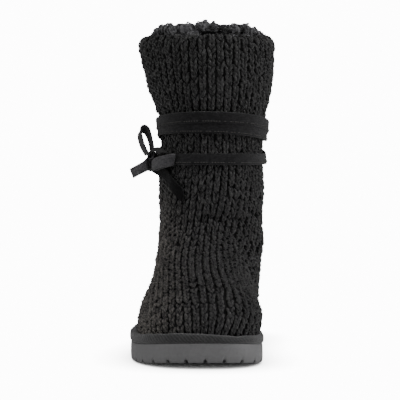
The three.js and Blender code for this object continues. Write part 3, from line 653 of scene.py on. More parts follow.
def new_material(name, roughness, specular, sheen=0.0):
    """A material with its node tree and its Principled shader."""
    material = bpy.data.materials.new(name)
    material.use_nodes = True
    shader = material.node_tree.nodes["Principled BSDF"]
    shader.inputs["Roughness"].default_value = roughness
    shader.inputs["Specular IOR Level"].default_value = specular
    shader.inputs["Sheen Weight"].default_value = sheen
    shader.inputs["Sheen Roughness"].default_value = SHEEN_ROUGHNESS
    return material, material.node_tree, shader


def feed(tree, socket, value):
    """Gives a socket its value, or links it to the socket that the value is."""
    if isinstance(value, bpy.types.NodeSocket):
        tree.links.new(value, socket)
    else:
        socket.default_value = value


def add(tree, kind, settings=None, **inputs):
    """A new node's outputs, from its settings and its inputs, named with _ for a space."""
    node = tree.nodes.new(f"ShaderNode{kind}")
    for name, value in (settings or {}).items():
        setattr(node, name, value)
    for name, value in inputs.items():
        feed(tree, node.inputs[name.replace("_", " ")], value)
    return node.outputs


def maths(tree, operation, *values, kind="Math"):
    """The result of a Math or VectorMath node."""
    node = tree.nodes.new(f"ShaderNode{kind}")
    node.operation = operation
    for socket, value in zip(node.inputs, values):
        feed(tree, socket, value)
    return node.outputs[0]


def ranged(tree, value, span, result=(0, 1), shape="LINEAR"):
    """A value stretched from one span to another and held at its ends."""
    node = tree.nodes.new("ShaderNodeMapRange")
    node.interpolation_type = shape
    for name, limit in zip(("From Min", "From Max", "To Min", "To Max"), (*span, *result)):
        node.inputs[name].default_value = limit
    feed(tree, node.inputs["Value"], value)
    return node.outputs["Result"]


def blended(tree, share, first, second, way="MIX"):
    """Two colours mixed by a share."""
    node = tree.nodes.new("ShaderNodeMix")
    node.data_type = "RGBA"
    node.blend_type = way
    for socket, value in ((node.inputs["Factor"], share), (node.inputs[6], first), (node.inputs[7], second)):
        feed(tree, socket, value)
    return node.outputs[2]


def laid_along(tree):
    """The UV map that pieces carry: as one vector, its part across or round, and its part along."""
    vector = add(tree, "UVMap", {"uv_map": "along"})["UV"]
    parts = add(tree, "SeparateXYZ", Vector=vector)
    return vector, parts["X"], parts["Y"]


def group_tree(name, inputs, outputs):
    """An empty shader node group, what it is given and what it puts out."""
    tree = bpy.data.node_groups.new(name, "ShaderNodeTree")
    for socket, kind, value in inputs:
        made = tree.interface.new_socket(socket, in_out="INPUT", socket_type=kind)
        made.default_value = value
    for socket, kind in outputs:
        tree.interface.new_socket(socket, in_out="OUTPUT", socket_type=kind)
    return tree, tree.nodes.new("NodeGroupInput").outputs, tree.nodes.new("NodeGroupOutput").inputs


def two_tone_group():
    """Uneven dye: two colours mixed by a mask and by soft noise at a given scale."""
    tree, given, made = group_tree(
        "two_tone",
        [
            ("Deep", "NodeSocketColor", (0, 0, 0, 1)),
            ("Raised", "NodeSocketColor", (1, 1, 1, 1)),
            ("Mask", "NodeSocketFloat", 0.5),
            ("Patch Scale", "NodeSocketFloat", 60.0),
            ("Patchiness", "NodeSocketFloat", 0.3),
        ],
        [("Colour", "NodeSocketColor")],
    )
    place = add(tree, "TexCoord")["Object"]
    patches = add(tree, "TexNoise", Vector=place, Scale=given["Patch Scale"], Detail=4)["Fac"]
    spread = maths(tree, "SUBTRACT", patches, 0.5)
    share = maths(tree, "MULTIPLY_ADD", spread, given["Patchiness"], given["Mask"])
    feed(tree, made["Colour"], blended(tree, share, given["Deep"], given["Raised"]))
    return tree


def nap_group():
    """Fine fibres: a mask and a height from one noise."""
    tree, given, made = group_tree(
        "nap",
        [("Scale", "NodeSocketFloat", 900.0)],
        [("Mask", "NodeSocketFloat"), ("Height", "NodeSocketFloat")],
    )
    place = add(tree, "TexCoord")["Object"]
    fibres = add(tree, "TexNoise", Vector=place, Scale=given["Scale"], Detail=6, Roughness=0.65)["Fac"]
    feed(tree, made["Mask"], ranged(tree, fibres, (0.35, 0.68)))
    feed(tree, made["Height"], fibres)
    return tree


PALING_AND_LIGHT_SPANS = (("X", (0.0, -0.044)), ("Z", (0.15, 0.08)))  # where the paler yarn and the painted light start and are full
PALING_AND_LIGHT_TINT = (2.7, 2.5, 2.3, 1)


def outer_paling_and_light_group():
    """Paler, warmer yarn low on the foot's outer side, partly its own tone and partly painted light."""
    tree, given, made = group_tree(
        "outer_paling_and_light", [("Colour", "NodeSocketColor", (0, 0, 0, 1))], [("Colour", "NodeSocketColor")]
    )
    place = add(tree, "SeparateXYZ", Vector=add(tree, "TexCoord")["Object"])
    shares = [ranged(tree, place[axis], span, shape="SMOOTHSTEP") for axis, span in PALING_AND_LIGHT_SPANS]
    both = maths(tree, "MULTIPLY", *shares)
    feed(tree, made["Colour"], blended(tree, both, given["Colour"], PALING_AND_LIGHT_TINT, "MULTIPLY"))
    return tree


def node_groups():
    """The shared effects, built once."""
    groups = bpy.data.node_groups
    return SimpleNamespace(
        two_tone=groups.get("two_tone") or two_tone_group(),
        nap=groups.get("nap") or nap_group(),
        outer_paling_and_light=groups.get("outer_paling_and_light") or outer_paling_and_light_group(),
    )


def place_group(tree, group, **values):
    """The outputs of a node group placed in a material, with its own values."""
    return add(tree, "Group", {"node_tree": group}, **values)


def dyed(tree, groups, deep, raised, mask, scale, patchiness):
    """A finish's colour: two tones mixed by a mask, with uneven patches."""
    tones = {"Deep": (*deep, 1), "Raised": (*raised, 1), "Mask": mask}
    return place_group(tree, groups.two_tone, **tones, Patch_Scale=scale, Patchiness=patchiness)["Colour"]


def finished(tree, shader, tone, height, strength, distance):
    """Gives the shader its colour, and a Bump node that raises a height by a distance in metres."""
    feed(tree, shader.inputs["Base Color"], tone)
    bump = add(tree, "Bump", Height=height, Strength=strength, Distance=distance)
    feed(tree, shader.inputs["Normal"], bump["Normal"])


PLIES = 3.0
PLY_PITCH = 2.6
PLY_CONTRAST = 0.32
PLY_MIDDLE = 0.42
FIBRE_CONTRAST = 0.45
TONES = 10  # how many shades the strands of yarn come in
TONE_SPREAD = 0.8


def yarn_material(name, deep, raised, groups):
    """Plied wool yarn: plies wound round each strand, fibres on them and a shade for each strand."""
    material, tree, shader = new_material(name, roughness=0.95, specular=0.1, sheen=0.12)
    _, around, along = laid_along(tree)
    turns = maths(tree, "MULTIPLY_ADD", along, 1 / PLY_PITCH, maths(tree, "MULTIPLY", around, PLIES))
    wave = maths(tree, "SINE", maths(tree, "MULTIPLY", turns, 2 * math.pi))
    crest = maths(tree, "MULTIPLY_ADD", wave, PLY_CONTRAST, PLY_MIDDLE)
    nap = place_group(tree, groups.nap, Scale=1100.0)
    mask = maths(tree, "MULTIPLY_ADD", nap["Mask"], FIBRE_CONTRAST, crest)
    strand = maths(tree, "FLOOR", around)
    own = maths(tree, "MULTIPLY_ADD", strand, TONE_SPREAD / TONES, mask)
    even = maths(tree, "SUBTRACT", own, TONE_SPREAD / 2)
    tone = dyed(tree, groups, deep, raised, even, scale=760.0, patchiness=2.4)
    # Painted light: the foot's outer side is made paler and warmer, partly for the yarn's own tone.
    paled_and_lit = place_group(tree, groups.outer_paling_and_light, Colour=tone)["Colour"]
    finished(tree, shader, paled_and_lit, mask, strength=1.0, distance=0.0011)
    return material


def fibre_material(name, deep, raised, groups, scale, strength, shaded_hollows=False, patch=40.0, **look):
    """A napped surface: felt, fleece or brushed cloth; with relief, shade is painted into the hollows between
    lumps.
    """
    material, tree, shader = new_material(name, **look)
    nap = place_group(tree, groups.nap, Scale=scale)
    mask = with_painted_hollow_shade(tree, nap["Mask"]) if shaded_hollows else nap["Mask"]
    tone = dyed(tree, groups, deep, raised, mask, scale=patch, patchiness=0.6)
    finished(tree, shader, tone, nap["Height"], strength, distance=0.0005)
    return material


def with_painted_hollow_shade(tree, mask):
    """A mask with shade painted into the hollows, by the height kept in the first part of the UV map."""
    high = laid_along(tree)[1]
    return maths(tree, "ADD", mask, ranged(tree, high, span=(0.4, 1.0), result=(-1.1, 0.2)))


LACE_SHEEN = 0.12
LACE_DRAWN = (1.1, 0.16, 0)  # the grain's scale across and along the lace, per millimetre
CUT_EDGE_HIGHLIGHT = 0.88  # share of the lace's half width where its paler edge and painted highlight start
EDGE_HIGHLIGHT_CONTRAST = 0.8
NAP_CONTRAST = 0.5


def lace_material(name, deep, raised, groups, half_width, sheen=LACE_SHEEN):
    """Suede lace: nap drawn out along it, and paler cut edges with a painted highlight along them."""
    material, tree, shader = new_material(name, roughness=0.95, specular=sheen * 0.8, sheen=sheen)
    vector, across, _ = laid_along(tree)
    drawn = maths(tree, "MULTIPLY", vector, LACE_DRAWN, kind="VectorMath")
    grain = add(tree, "TexNoise", Vector=drawn, Scale=1.0, Detail=5, Roughness=0.7)["Fac"]
    spread = ranged(tree, grain, span=(0.35, 0.65), result=(-0.2, 0.6))
    nap = place_group(tree, groups.nap, Scale=1000.0)
    both = maths(tree, "MULTIPLY_ADD", nap["Mask"], NAP_CONTRAST, spread)
    # Painted highlight along the cut edges, which are also paler.
    edge = ranged(tree, maths(tree, "ABSOLUTE", across), (half_width * CUT_EDGE_HIGHLIGHT, half_width))
    mask = maths(tree, "MULTIPLY_ADD", edge, EDGE_HIGHLIGHT_CONTRAST, both)
    tone = dyed(tree, groups, deep, raised, mask, scale=420.0, patchiness=1.5)
    finished(tree, shader, tone, both, strength=0.5, distance=0.0004)
    return material


def rubber_material(tone, groups):
    """Moulded rubber with a fine matt skin and faint uneven patches."""
    material, tree, shader = new_material("sole_rubber", roughness=0.62, specular=0.35)
    nap = place_group(tree, groups.nap, Scale=420.0)
    deep, raised = ([c * share for c in tone] for share in (0.9, 1.1))
    dye = dyed(tree, groups, deep, raised, nap["Mask"], scale=24.0, patchiness=0.8)
    rough = ranged(tree, nap["Mask"], span=(0, 1), result=(0.52, 0.72))
    feed(tree, shader.inputs["Roughness"], rough)
    finished(tree, shader, dye, nap["Height"], strength=0.25, distance=0.0003)
    return material


def rand_material(deep, raised, groups):
    """Covered rand: close threads across the strip, seen as fine slanted lines."""
    material, tree, shader = new_material("rand_cover", roughness=0.9, specular=0.2, sheen=0.2)
    slanted = {"wave_type": "BANDS", "bands_direction": "DIAGONAL"}
    vector = laid_along(tree)[0]
    weave = add(tree, "TexWave", slanted, Vector=vector, Scale=0.21, Distortion=2.2, Detail=2.0)["Fac"]
    nap = place_group(tree, groups.nap, Scale=1100.0)
    mask = maths(tree, "MULTIPLY_ADD", nap["Mask"], 0.55, maths(tree, "MULTIPLY", weave, 0.45))
    tone = dyed(tree, groups, deep, raised, mask, scale=80.0, patchiness=0.5)
    finished(tree, shader, tone, mask, strength=0.7, distance=0.0004)
    return material


# The wound lace and its bow

LACE_SQUARENESS = 6
LACE_SIDES = 14
CORD_STEPS = 7
WOUND_STEPS = 520
AHEAD = 0.003  # turns between a bow point and the next one that shows which way is level
KNOT_UP = 0.596  # share of the collar's height
KNOT_OUT = 3.7  # from the wound lace to the middle of the knot
KNOT_CORE = (2.8, 4.4, 5.6)
KNOT_RINGS = 15
KNOT_AROUND = 24
BAND_ACROSS = (0.22, 1.0, 0.18)


def rounded(wave, power):
    """A sine or cosine with squarer corners."""
    return np.sign(wave) * np.abs(wave) ** power


def lace_section(s):
    """The lace's section: (across, out) in millimetres, a flat oval with a slightly crowned face."""
    angle = 2 * np.pi * (np.arange(LACE_SIDES) + 0.5) / LACE_SIDES
    power = 2 / LACE_SQUARENESS
    across = rounded(np.cos(angle), power) * s.tie_width / 2
    return across, rounded(np.sin(angle), power) * s.tie_thick / 2


def lace_strip(form, middle, across, out, cut=0.0):
    """The lace swept along frames, with its ends closed and the last one cut to a slant."""
    s = form.s
    side, rise = lace_section(s)
    points = middle[:, None] + across[:, None] * side[None, :, None] + out[:, None] * rise[None, :, None]
    if cut:
        along = unit(middle[-1] - middle[-4])
        points[-1] += along * (side[:, None] / s.tie_width) * cut
        points[-2] += along * (side[:, None] / s.tie_width) * cut * 0.6
    count = len(side)
    caps = [np.broadcast_to(points[k].mean(0), (count, 3)) for k in (0, -1)]
    rings = np.concatenate([caps[0][None], points, caps[1][None]])
    quads = quads_of_grid(len(rings), count)
    run = run_along(middle)
    run = np.concatenate([run[:1], run, run[-1:]])
    u = np.broadcast_to(side, (len(rings), count))
    v = np.broadcast_to(run[:, None], (len(rings), count))
    return rings.reshape(-1, 3), quads, np.stack([u, v], -1).reshape(-1, 2)


def wound_frames(form):
    """The lace's middle, width and outward directions, three turns round the shaft."""
    s = form.s
    turn = np.linspace(TIE_ROWS[0][0], TIE_ROWS[-1][0], WOUND_STEPS)
    z = column_at(TIE_COLUMNS, TIE_ROWS, "up", turn) * s.collar_height
    away = s.tie_clear + s.tie_thick / 2 + turn * 4 * s.tie_lift
    middle = form.shaft_point(turn, z, away)
    above = form.shaft_point(turn, z + s.tie_width / 2, away - s.tie_lift)
    below = form.shaft_point(turn, z - s.tie_width / 2, away + s.tie_lift)
    across = unit(above - below)
    along = unit(np.gradient(middle, axis=0))
    return middle, across, unit(np.cross(along, across))


def cord_frames(form, rows, yaw=0.0):
    """A bow cord's frames from its table of points off the shaft, turned a little to the front by yaw."""
    s = form.s
    rows = np.array(rows, float)
    z = rows[:, 1] * s.collar_height
    points = form.shaft_point(rows[:, 0], z, rows[:, 2] * s.tie_width)
    ahead = form.shaft_point(rows[:, 0] + AHEAD, z, rows[:, 2] * s.tie_width)
    level = unit(ahead - points)
    upright = np.array([0, 0, 1.0])
    level = unit(level + yaw * np.cross(level, upright))
    twist = np.radians(rows[:, 3])[:, None]
    wide = level * np.cos(twist) + upright * np.sin(twist)
    both = smooth_path(np.concatenate([points, wide * 10], 1), CORD_STEPS)
    middle = both[:, :3]
    along = unit(np.gradient(middle, axis=0))
    wide = both[:, 3:]
    across = square_to(wide, along)
    return middle, across, np.cross(along, across)


def knot_mesh(form):
    """The knot: the lace bound over the crossing and down its outer side, with a core that fills it."""
    s = form.s
    place = form.shaft_point(0, KNOT_UP * s.collar_height, s.tie_clear + s.tie_thick + KNOT_OUT)[0]
    middle = cord_frames(form, KNOT_BAND)[0]
    along = unit(np.gradient(middle, axis=0))
    wide = np.broadcast_to(np.array(BAND_ACROSS), middle.shape)
    across = square_to(wide, along)
    out = np.cross(along, across)
    strip = lace_strip(form, middle, across, out)
    down = np.linspace(0.02, 0.98, KNOT_RINGS) * np.pi
    v, u = np.meshgrid(down, np.arange(KNOT_AROUND) / KNOT_AROUND * 2 * np.pi, indexing="ij")
    ball = np.stack([np.sin(v) * np.cos(u), np.sin(v) * np.sin(u), np.cos(v)], -1)
    core = place + (ball * KNOT_CORE).reshape(-1, 3)
    core_quads = quads_of_grid(KNOT_RINGS, KNOT_AROUND) + len(strip[0])
    uv = np.stack([u.ravel() * 5, v.ravel() * 8], 1)
    return (
        np.concatenate([strip[0], core]),
        np.concatenate([strip[1], core_quads]),
        np.concatenate([strip[2], uv]),
    )


SEAM_SIDE = -0.31  # share of the lace's width off its middle line
SEAM_PITCH = 2.3
SEAM_HALF = 0.36  # share of the pitch that a stitch runs to each side
SEAM_SEEN = 0.8  # share of the stitches that show
SEAM_BULGE = (-0.1, 0.12, 0.18, 0.12, -0.1)
SEAM_RADII = (0.2, 0.38, 0.42, 0.38, 0.2)


def seam_thread(form, middle, across, out, material):
    """A row of small stitches along the lace."""
    s = form.s
    run = run_along(middle)
    count = int(run[-1] / SEAM_PITCH) - 1
    rng = np.random.default_rng(SEED)
    start = (np.arange(count) + 0.6 + rng.normal(0, 0.06, count)) * SEAM_PITCH
    start = start[rng.random(count) < SEAM_SEEN]
    along = start[:, None] + np.linspace(-SEAM_HALF, SEAM_HALF, len(SEAM_BULGE))[None] * SEAM_PITCH
    line = middle + across * SEAM_SIDE * s.tie_width + out * s.tie_thick / 2
    paths = at_places(along, run, line)
    normal = at_places(along, run, out)
    paths = paths + unit(normal) * np.array(SEAM_BULGE)[None, :, None]
    radii = np.broadcast_to(np.array(SEAM_RADII), paths.shape[:2])
    piece = make_piece(form, "lace_seam", *tubes(paths, normal, radii, 6)[:2], material)
    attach(piece, "root")
    return piece


class BOOT_OT_lace(bpy.types.Operator):
    """The flat suede lace: three turns round the shaft, a knot and a bow"""

    bl_idname = "boot.lace"
    bl_label = "Wound lace and bow"

    # Painted light and shade on the lace: lit and shaded copies of the suede for the parts that turn to the
    # light or lie in shadow, as how many times the suede's own tone, and how much sheen. The bow's loops and
    # its low tail are painted lighter; the hanging tail is painted darker, as the shadow under the front
    # loop.
    PAINTED_LIGHT_SHADES = {
        "bow_front": (4.4, LACE_SHEEN),
        "hanging": (0.4, 0.045),
        "bow_high": (3.4, LACE_SHEEN),
        "low": (7.4, LACE_SHEEN),
    }
    # The two free cords: name, its parts from loop to tail, the nodes it stands for, the painted light of its
    # tail (lighter for the low tail, painted shadow for the hanging one), the slant of its cut end in
    # millimetres, and how far the loop is turned to the front.
    CORDS = (
        (
            "bow_high", (LOOP_HIGH, THROUGH_KNOT_LOW, TAIL_LOW),
            ("tie_loop_high", "tie_tail_low"), "low", -2.5, -0.17,
        ),
        (
            "bow_front", (LOOP_FRONT, THROUGH_KNOT_HANGING, TAIL_HANGING),
            ("tie_loop_front", "tie_tail_hanging"), "hanging", -6.0, 0.0,
        ),
    )

    def execute(self, context):
        form, groups, colours = BootForm(), node_groups(), context.scene.boot_colours
        s = form.s
        suede = lace_material("suede", colours.suede, colours.suede_nap, groups, s.tie_width / 2)
        thread = fibre_material(
            "seam_thread", [c * 0.7 for c in colours.thread], colours.thread, groups,
            scale=2200.0, strength=0.3, roughness=0.8, specular=0.2,
        )
        shades = {}
        for name, (share, sheen) in self.PAINTED_LIGHT_SHADES.items():
            deep, raised = ([c * share for c in tone] for tone in (colours.suede, colours.suede_nap))
            shades[name] = lace_material(f"suede_{name}", deep, raised, groups, s.tie_width / 2, sheen)
        self.bow(form, shades, suede)
        middle, across, out = wound_frames(form)
        points, quads, uvs = lace_strip(form, middle, across, out)
        wound = make_piece(form, "wound_lace", points, quads, suede, uvs)
        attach(wound, "root")
        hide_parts("wound_tie")
        seam_thread(form, middle, across, out, thread)
        return {"FINISHED"}

    @staticmethod
    def paint_tail_light(form, cord, middle, row, suede):
        """Gives the tail its own painted light and shade, another copy of the suede, from a point in the knot
        to the tail's end.
        """
        turn, up, away, _ = row
        knot = form.shaft_point(turn, up * form.s.collar_height, away * form.s.tie_width)[0]
        start = int(np.argmin(np.linalg.norm(middle - knot, axis=1)))
        cord.data.materials.append(suede)
        index = (np.arange(len(cord.data.polygons)) // LACE_SIDES > start).astype(np.int32)
        cord.data.polygons.foreach_set("material_index", index)

    def bow(self, form, shades, knot_suede):
        """The knot and the two free cords."""
        points, quads, uvs = knot_mesh(form)
        knot = make_piece(form, "bow_knot", points, quads, knot_suede, uvs)
        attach(knot, "root")
        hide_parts("tie_knot")
        for name, parts, nodes, tail_painted_light, cut, yaw in self.CORDS:
            middle, across, out = cord_frames(form, sum(parts, ()), yaw)
            points, quads, uvs = lace_strip(form, middle, across, out, cut=cut)
            # Each cord wears a copy of the suede painted lighter than the wound lace, for light.
            cord = make_piece(form, name, points, quads, shades[name], uvs)
            self.paint_tail_light(form, cord, middle, parts[1][0], shades[tail_painted_light])
            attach(cord, "root")
            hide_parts(*nodes)
            path = form.to_row(middle)


# The sole, rand and footbed

class BOOT_OT_sole(bpy.types.Operator):
    """The rubber outsole with its notched edge, and the felt footbed"""

    bl_idname = "boot.sole"
    bl_label = "Sole and footbed"

    OFF_NOTCH = (0.0, 0.35, 0.65, 0.88, 0.99, 1.03, 1.5)  # half widths of a notch from its middle
    BETWEEN = (0.25, 0.5, 0.75)  # shares of the pitch, past a notch
    NOTCH_SIDE = 0.45  # share of a notch's height below its round top
    PAST_NOTCH = (-8.0, -0.4)  # rings of the tread, from the notches' inner ends
    NOTCHED = (-6.0, -1.5, -0.5, 0.0)  # rings cut by the notches, out from the sole's edge
    EDGE_ROUND = 1.4
    EDGE_WIDE = 1.5
    # The wall and top: out from the sole's edge, share of the sole's height.
    WALL = ((0.25, 0.35), (0.2, 0.7), (0.0, 0.93), (-0.35, 0.985), (-1.2, 1.0), (-9.0, 1.0))

    def execute(self, context):
        form, groups, colours = BootForm(), node_groups(), context.scene.boot_colours
        s = form.s
        rubber = rubber_material(colours.rubber, groups)
        length_round = form.outline_at(np.zeros(1))[2]
        notches = round(length_round / s.groove_pitch)
        off = np.array(self.OFF_NOTCH) * s.groove_wide / 2
        off = np.concatenate([-off[:0:-1], off, np.array(self.BETWEEN) * s.groove_pitch])
        shares = (np.arange(notches)[:, None] + off[None] / s.groove_pitch).ravel() / notches
        ring, normal, _ = form.outline_at(shares)
        notch = np.tile(self.notch_height(s, off), notches)
        sole = make_piece(form, "rubber_sole", *self.wall(form, ring, normal, notch), rubber)
        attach(sole, "root")
        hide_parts("outsole")
        felt = fibre_material(
            "footbed_felt", colours.felt, colours.felt_light, groups,
            scale=800.0, strength=0.6, roughness=0.95, specular=0.1, sheen=0.2,
        )
        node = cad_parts["footbed"]
        node.data.materials.clear()
        node.data.materials.append(felt)
        return {"FINISHED"}

    @classmethod
    def notch_height(cls, s, off):
        """The round top of a notch, by the distance from its middle."""
        share = np.abs(off) / (s.groove_wide / 2)
        arch = mix(cls.NOTCH_SIDE, 1, np.sqrt(np.clip(1 - share**2, 0, 1)))
        return np.where(share < 1, s.groove_tall * arch, 0.0)

    @classmethod
    def wall(cls, form, ring, normal, notch):
        """The sole from its tread up its wall to its top, with its notches."""
        reach = form.s.groove_reach
        levels = []
        tread = [(past - reach, 0.0) for past in cls.PAST_NOTCH]
        for out, lift in tread + [(out, notch) for out in (-reach, *cls.NOTCHED)]:
            place = ring + normal * out
            edge = cls.EDGE_ROUND * max(0.0, 1 + out / cls.EDGE_WIDE) ** 2
            levels.append(np.column_stack([place, form.sole_bottom(place[:, 1]) + np.maximum(edge, lift)]))
        for out, share in cls.WALL:
            place = ring + normal * out
            low, top = form.sole_bottom(place[:, 1]), form.sole_top(place[:, 1])
            levels.append(np.column_stack([place, mix(low, top, share)]))
        bottom, top = cls.shut(levels[0], form, form.sole_bottom), cls.shut(levels[-1], form, form.sole_top)
        rings = np.array([bottom, *levels, top])
        return rings.reshape(-1, 3), quads_of_grid(*rings.shape[:2])

    @staticmethod
    def shut(ring, form, height):
        """The same ring drawn to the sole's middle line, which shuts the face."""
        d = ring[:, 1]
        middle = (form.edge_x(1, d) + form.edge_x(-1, d)) / 2
        return np.column_stack([middle, d, height(d)])


class BOOT_OT_rand(bpy.types.Operator):
    """The covered rand on the sole's edge"""

    bl_idname = "boot.rand"
    bl_label = "Rand"

    SAG = 0.3  # how far the knit presses the rand down at the inner toe
    SAG_SIDE = 30
    SAG_WIDE = 22
    SAG_LENGTH = 60
    UNDER_KNIT = 8.5  # how far the rand's cover runs in from the sole's edge
    UNDER_ALONG = 20.0  # that inner edge's place in the UV map
    AROUND = 900
    WAVES = 100  # small unevennesses of its top line
    WAVE = 0.16
    TURNS = (-0.5, 0.62)  # half turns from the foot of the rand's section to its top
    RINGS = 15
    SET_IN = 1.9  # the section's middle, in from the sole's edge
    HALF_WIDE = 2.6
    SUNK = 0.1
    SQUARE = (0.6, 0.8)  # powers of the section's width and height
    BULGE = 0.3  # share of the rand's bulge that its cover has
    WAVE_OUT = 0.3
    WAVE_UP = 1.6
    RING_APART = 0.9  # in the UV map

    def execute(self, context):
        form, groups, colours = BootForm(), node_groups(), context.scene.boot_colours
        s = form.s
        ring, normal, _ = form.outline_at(np.arange(self.AROUND) / self.AROUND)
        inner_toe = np.exp(-(((ring[:, 0] - self.SAG_SIDE) / self.SAG_WIDE) ** 2))
        low = 1 - self.SAG * inner_toe * ease(1 - ring[:, 1] / self.SAG_LENGTH)
        run = run_along(ring)
        rng = np.random.default_rng(SEED)
        knots = np.arange(0, self.AROUND + 1, self.AROUND // self.WAVES)
        heights = np.append(rng.normal(0, self.WAVE, self.WAVES), 0)
        wave = np.interp(np.arange(self.AROUND), knots, heights)
        top = form.sole_top(ring[:, 1])
        levels, uvs = [], []
        start, end = self.TURNS
        for k, angle in enumerate(np.linspace(start * np.pi, end * np.pi, self.RINGS)):
            wide, rise = rounded(np.cos(angle), self.SQUARE[0]), rounded(np.sin(angle), self.SQUARE[1])
            out = (self.HALF_WIDE + s.rand_bulge * self.BULGE) * wide - self.SET_IN + wave * self.WAVE_OUT
            up = s.rand_height * low * (0.5 + 0.5 * rise) + self.WAVE_UP * wave * (angle > 0)
            levels.append(np.column_stack([ring + normal * out[:, None], top - self.SUNK + up]))
            uvs.append(np.stack([run, np.full(len(run), k * self.RING_APART)], 1))
        inner = ring - normal * self.UNDER_KNIT
        levels.append(np.column_stack([inner, top + 0.5 * s.rand_height]))
        uvs.append(np.stack([run, np.full(len(run), self.UNDER_ALONG)], 1))
        cover = rand_material(colours.rand, colours.rand_light, groups)
        points, quads = np.concatenate(levels), quads_of_grid(len(levels), len(ring))
        rand = make_piece(form, "covered_rand", points, quads, cover, np.concatenate(uvs))
        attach(rand, "root")
        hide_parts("rand")
        return {"FINISHED"}


# The knit upper

class KnitSurface:
    """The knit's smooth surface as a grid, with the frames that the stitches lie in."""

    PER_RIB = 6
    FOOT_SECTIONS = 92
    LEG_SECTIONS = 60
    RELAX = 500
    CROWDED = 1.1  # sections nearer than this are eased apart
    SLIDES = 3
    EASY = 17.0  # length over which a rib's line is evened
    LEAN_OUTER = 2.6  # how far the forefoot's knit lies over, on its outer side
    LEAN_INNER = 6.6
    LEAN_END = 200  # from the toe tip, where the lean has gone
    LEAN_FADE = 70
    LEAN_CHANGE = (-8, 28)  # from the outer lean to the inner, across the foot
    OUTER_HEIGHTS = (2, 14, 48, 86)  # where the lean starts, is full, starts to fade and has gone
    INNER_HEIGHTS = (20, 44, 52, 106)
    MENDS = 4
    CALM = 40  # evenings that tell a crease from the boot's own curves
    SPREAD = 16  # evenings that spread the mending past a crease
    SPREAD_GAIN = 4
    CREASED = 0.93  # likeness to the calm surface below which it is mended
    CREASE_FADE = 0.12
    MEND_FROM = 26  # the height above which creases are mended
    MEND_FADE = 12
    ROLL_WIDE = 0.9  # share of the cuff's roll that it draws in
    ROLL_FROM = 0.12  # quarter turns of the roll
    ROLL_RINGS = 7
    FOLD_BEFORE = 10  # the folds start this far before the shaft's middle
    FOLD_FADE = 30
    OVER_SOLE = 0.35

    def __init__(self, form):
        self.form = form
        s = form.s
        self.around = s.rib_count * self.PER_RIB
        foot = form.foot_planes(np.linspace(0, PLANE_ROWS[-1][0], self.FOOT_SECTIONS))
        start = PLANE_ROWS[-1][2] * s.instep_height
        levels = np.linspace(start, s.collar_height - s.cuff_roll, self.LEG_SECTIONS)[1:]
        shaft = form.level_planes(levels)
        planes = tuple(np.concatenate([a, b]) for a, b in zip(foot, shaft))
        body = self.straightened(self.relaxed(form.sections(planes, self.around)))
        body[..., 0] += self.leaning(body)
        self.points = np.concatenate([body, self.roll()])
        self.normals = self.outward(self.points)
        self.fold()
        self.normals = self.outward(self.points)

    def leaning(self, body):
        """How far the forefoot's knit lies over towards the inner side, as it was stuffed."""
        x, d, z = body[..., 0], body[..., 1], body[..., 2]
        ahead = ease((self.LEAN_END - d) / self.LEAN_FADE)
        outer = self.LEAN_OUTER * self.between(z, *self.OUTER_HEIGHTS)
        inner = self.LEAN_INNER * self.between(z, *self.INNER_HEIGHTS)
        start, end = self.LEAN_CHANGE
        return ahead * mix(outer, inner, ease((x - start) / (end - start)))

    @staticmethod
    def between(z, start, full, fading, gone):
        """0 to 1 and back to 0, by four heights."""
        return ease((z - start) / (full - start)) * ease((gone - z) / (gone - fading))

    def relaxed(self, body):
        """The sections eased apart where they crowd at the instep, so that no rib runs back on itself."""
        p = body.copy()
        for _ in range(self.RELAX):
            step = np.linalg.norm(p[2:] - p[:-2], axis=-1) / 2
            share = 0.5 * np.clip(1.5 - step / self.CROWDED, 0, 1)[..., None]
            p[1:-1] = mix(p[1:-1], (p[2:] + p[:-2]) / 2, share)
        return p

    def straightened(self, body):
        """The ribs slid round their sections until they run down the boot in long easy lines."""
        p = body
        for _ in range(self.SLIDES):
            step = np.linalg.norm(np.diff(p, axis=0), axis=-1)
            run = np.concatenate([np.zeros((1, self.around)), np.cumsum(step, axis=0)])
            weight = np.exp(-0.5 * ((run[:, None] - run[None]) / self.EASY) ** 2)
            weight = weight * np.gradient(run, axis=0)[None]
            even = np.einsum("ikj,kjx->ijx", weight, p) / weight.sum(1)[..., None]
            around = across_columns(p)
            spacing = np.linalg.norm(around, axis=-1) / 2
            slide = np.sum((even - p) * unit(around), -1) / spacing
            ends = ease(np.minimum(run, run[-1] - run) / (1.5 * self.EASY))
            p = self.slid(p, slide * ends)
        return self.mended(p)

    def mended(self, p):
        """The sharp joint of foot and shaft smoothed away, where the surface turns too fast."""
        for _ in range(self.MENDS):
            normal = self.outward(p)
            calm = unit(self.softened(normal, self.CALM))
            rough = ease((self.CREASED - np.sum(normal * calm, -1)) / self.CREASE_FADE)
            rough = rough * ease((p[..., 2] - self.MEND_FROM) / self.MEND_FADE)
            rough = np.clip(self.softened(rough, self.SPREAD) * self.SPREAD_GAIN, 0, 1)
            p = self.softened(p, self.CALM, rough[..., None])
        return p

    @staticmethod
    def softened(values, times, share=1.0):
        """The grid's values evened with their neighbours a number of times."""
        for _ in range(times):
            even = (np.roll(values, 1, 1) + 2 * values + np.roll(values, -1, 1)) / 4
            inner = (even[:-2] + 2 * even[1:-1] + even[2:]) / 4
            even = np.concatenate([even[:1], inner, even[-1:]])
            values = mix(values, even, share)
        return values

    def slid(self, p, slide):
        """The points moved along their sections by a number of columns."""
        slide = (np.roll(slide, 1, 1) + slide + np.roll(slide, -1, 1)) / 3
        at = (np.arange(self.around) + slide) % self.around
        low = np.floor(at).astype(int) % self.around
        rows = np.arange(len(p))[:, None]
        return mix(p[rows, low], p[rows, (low + 1) % self.around], (at - np.floor(at))[..., None])

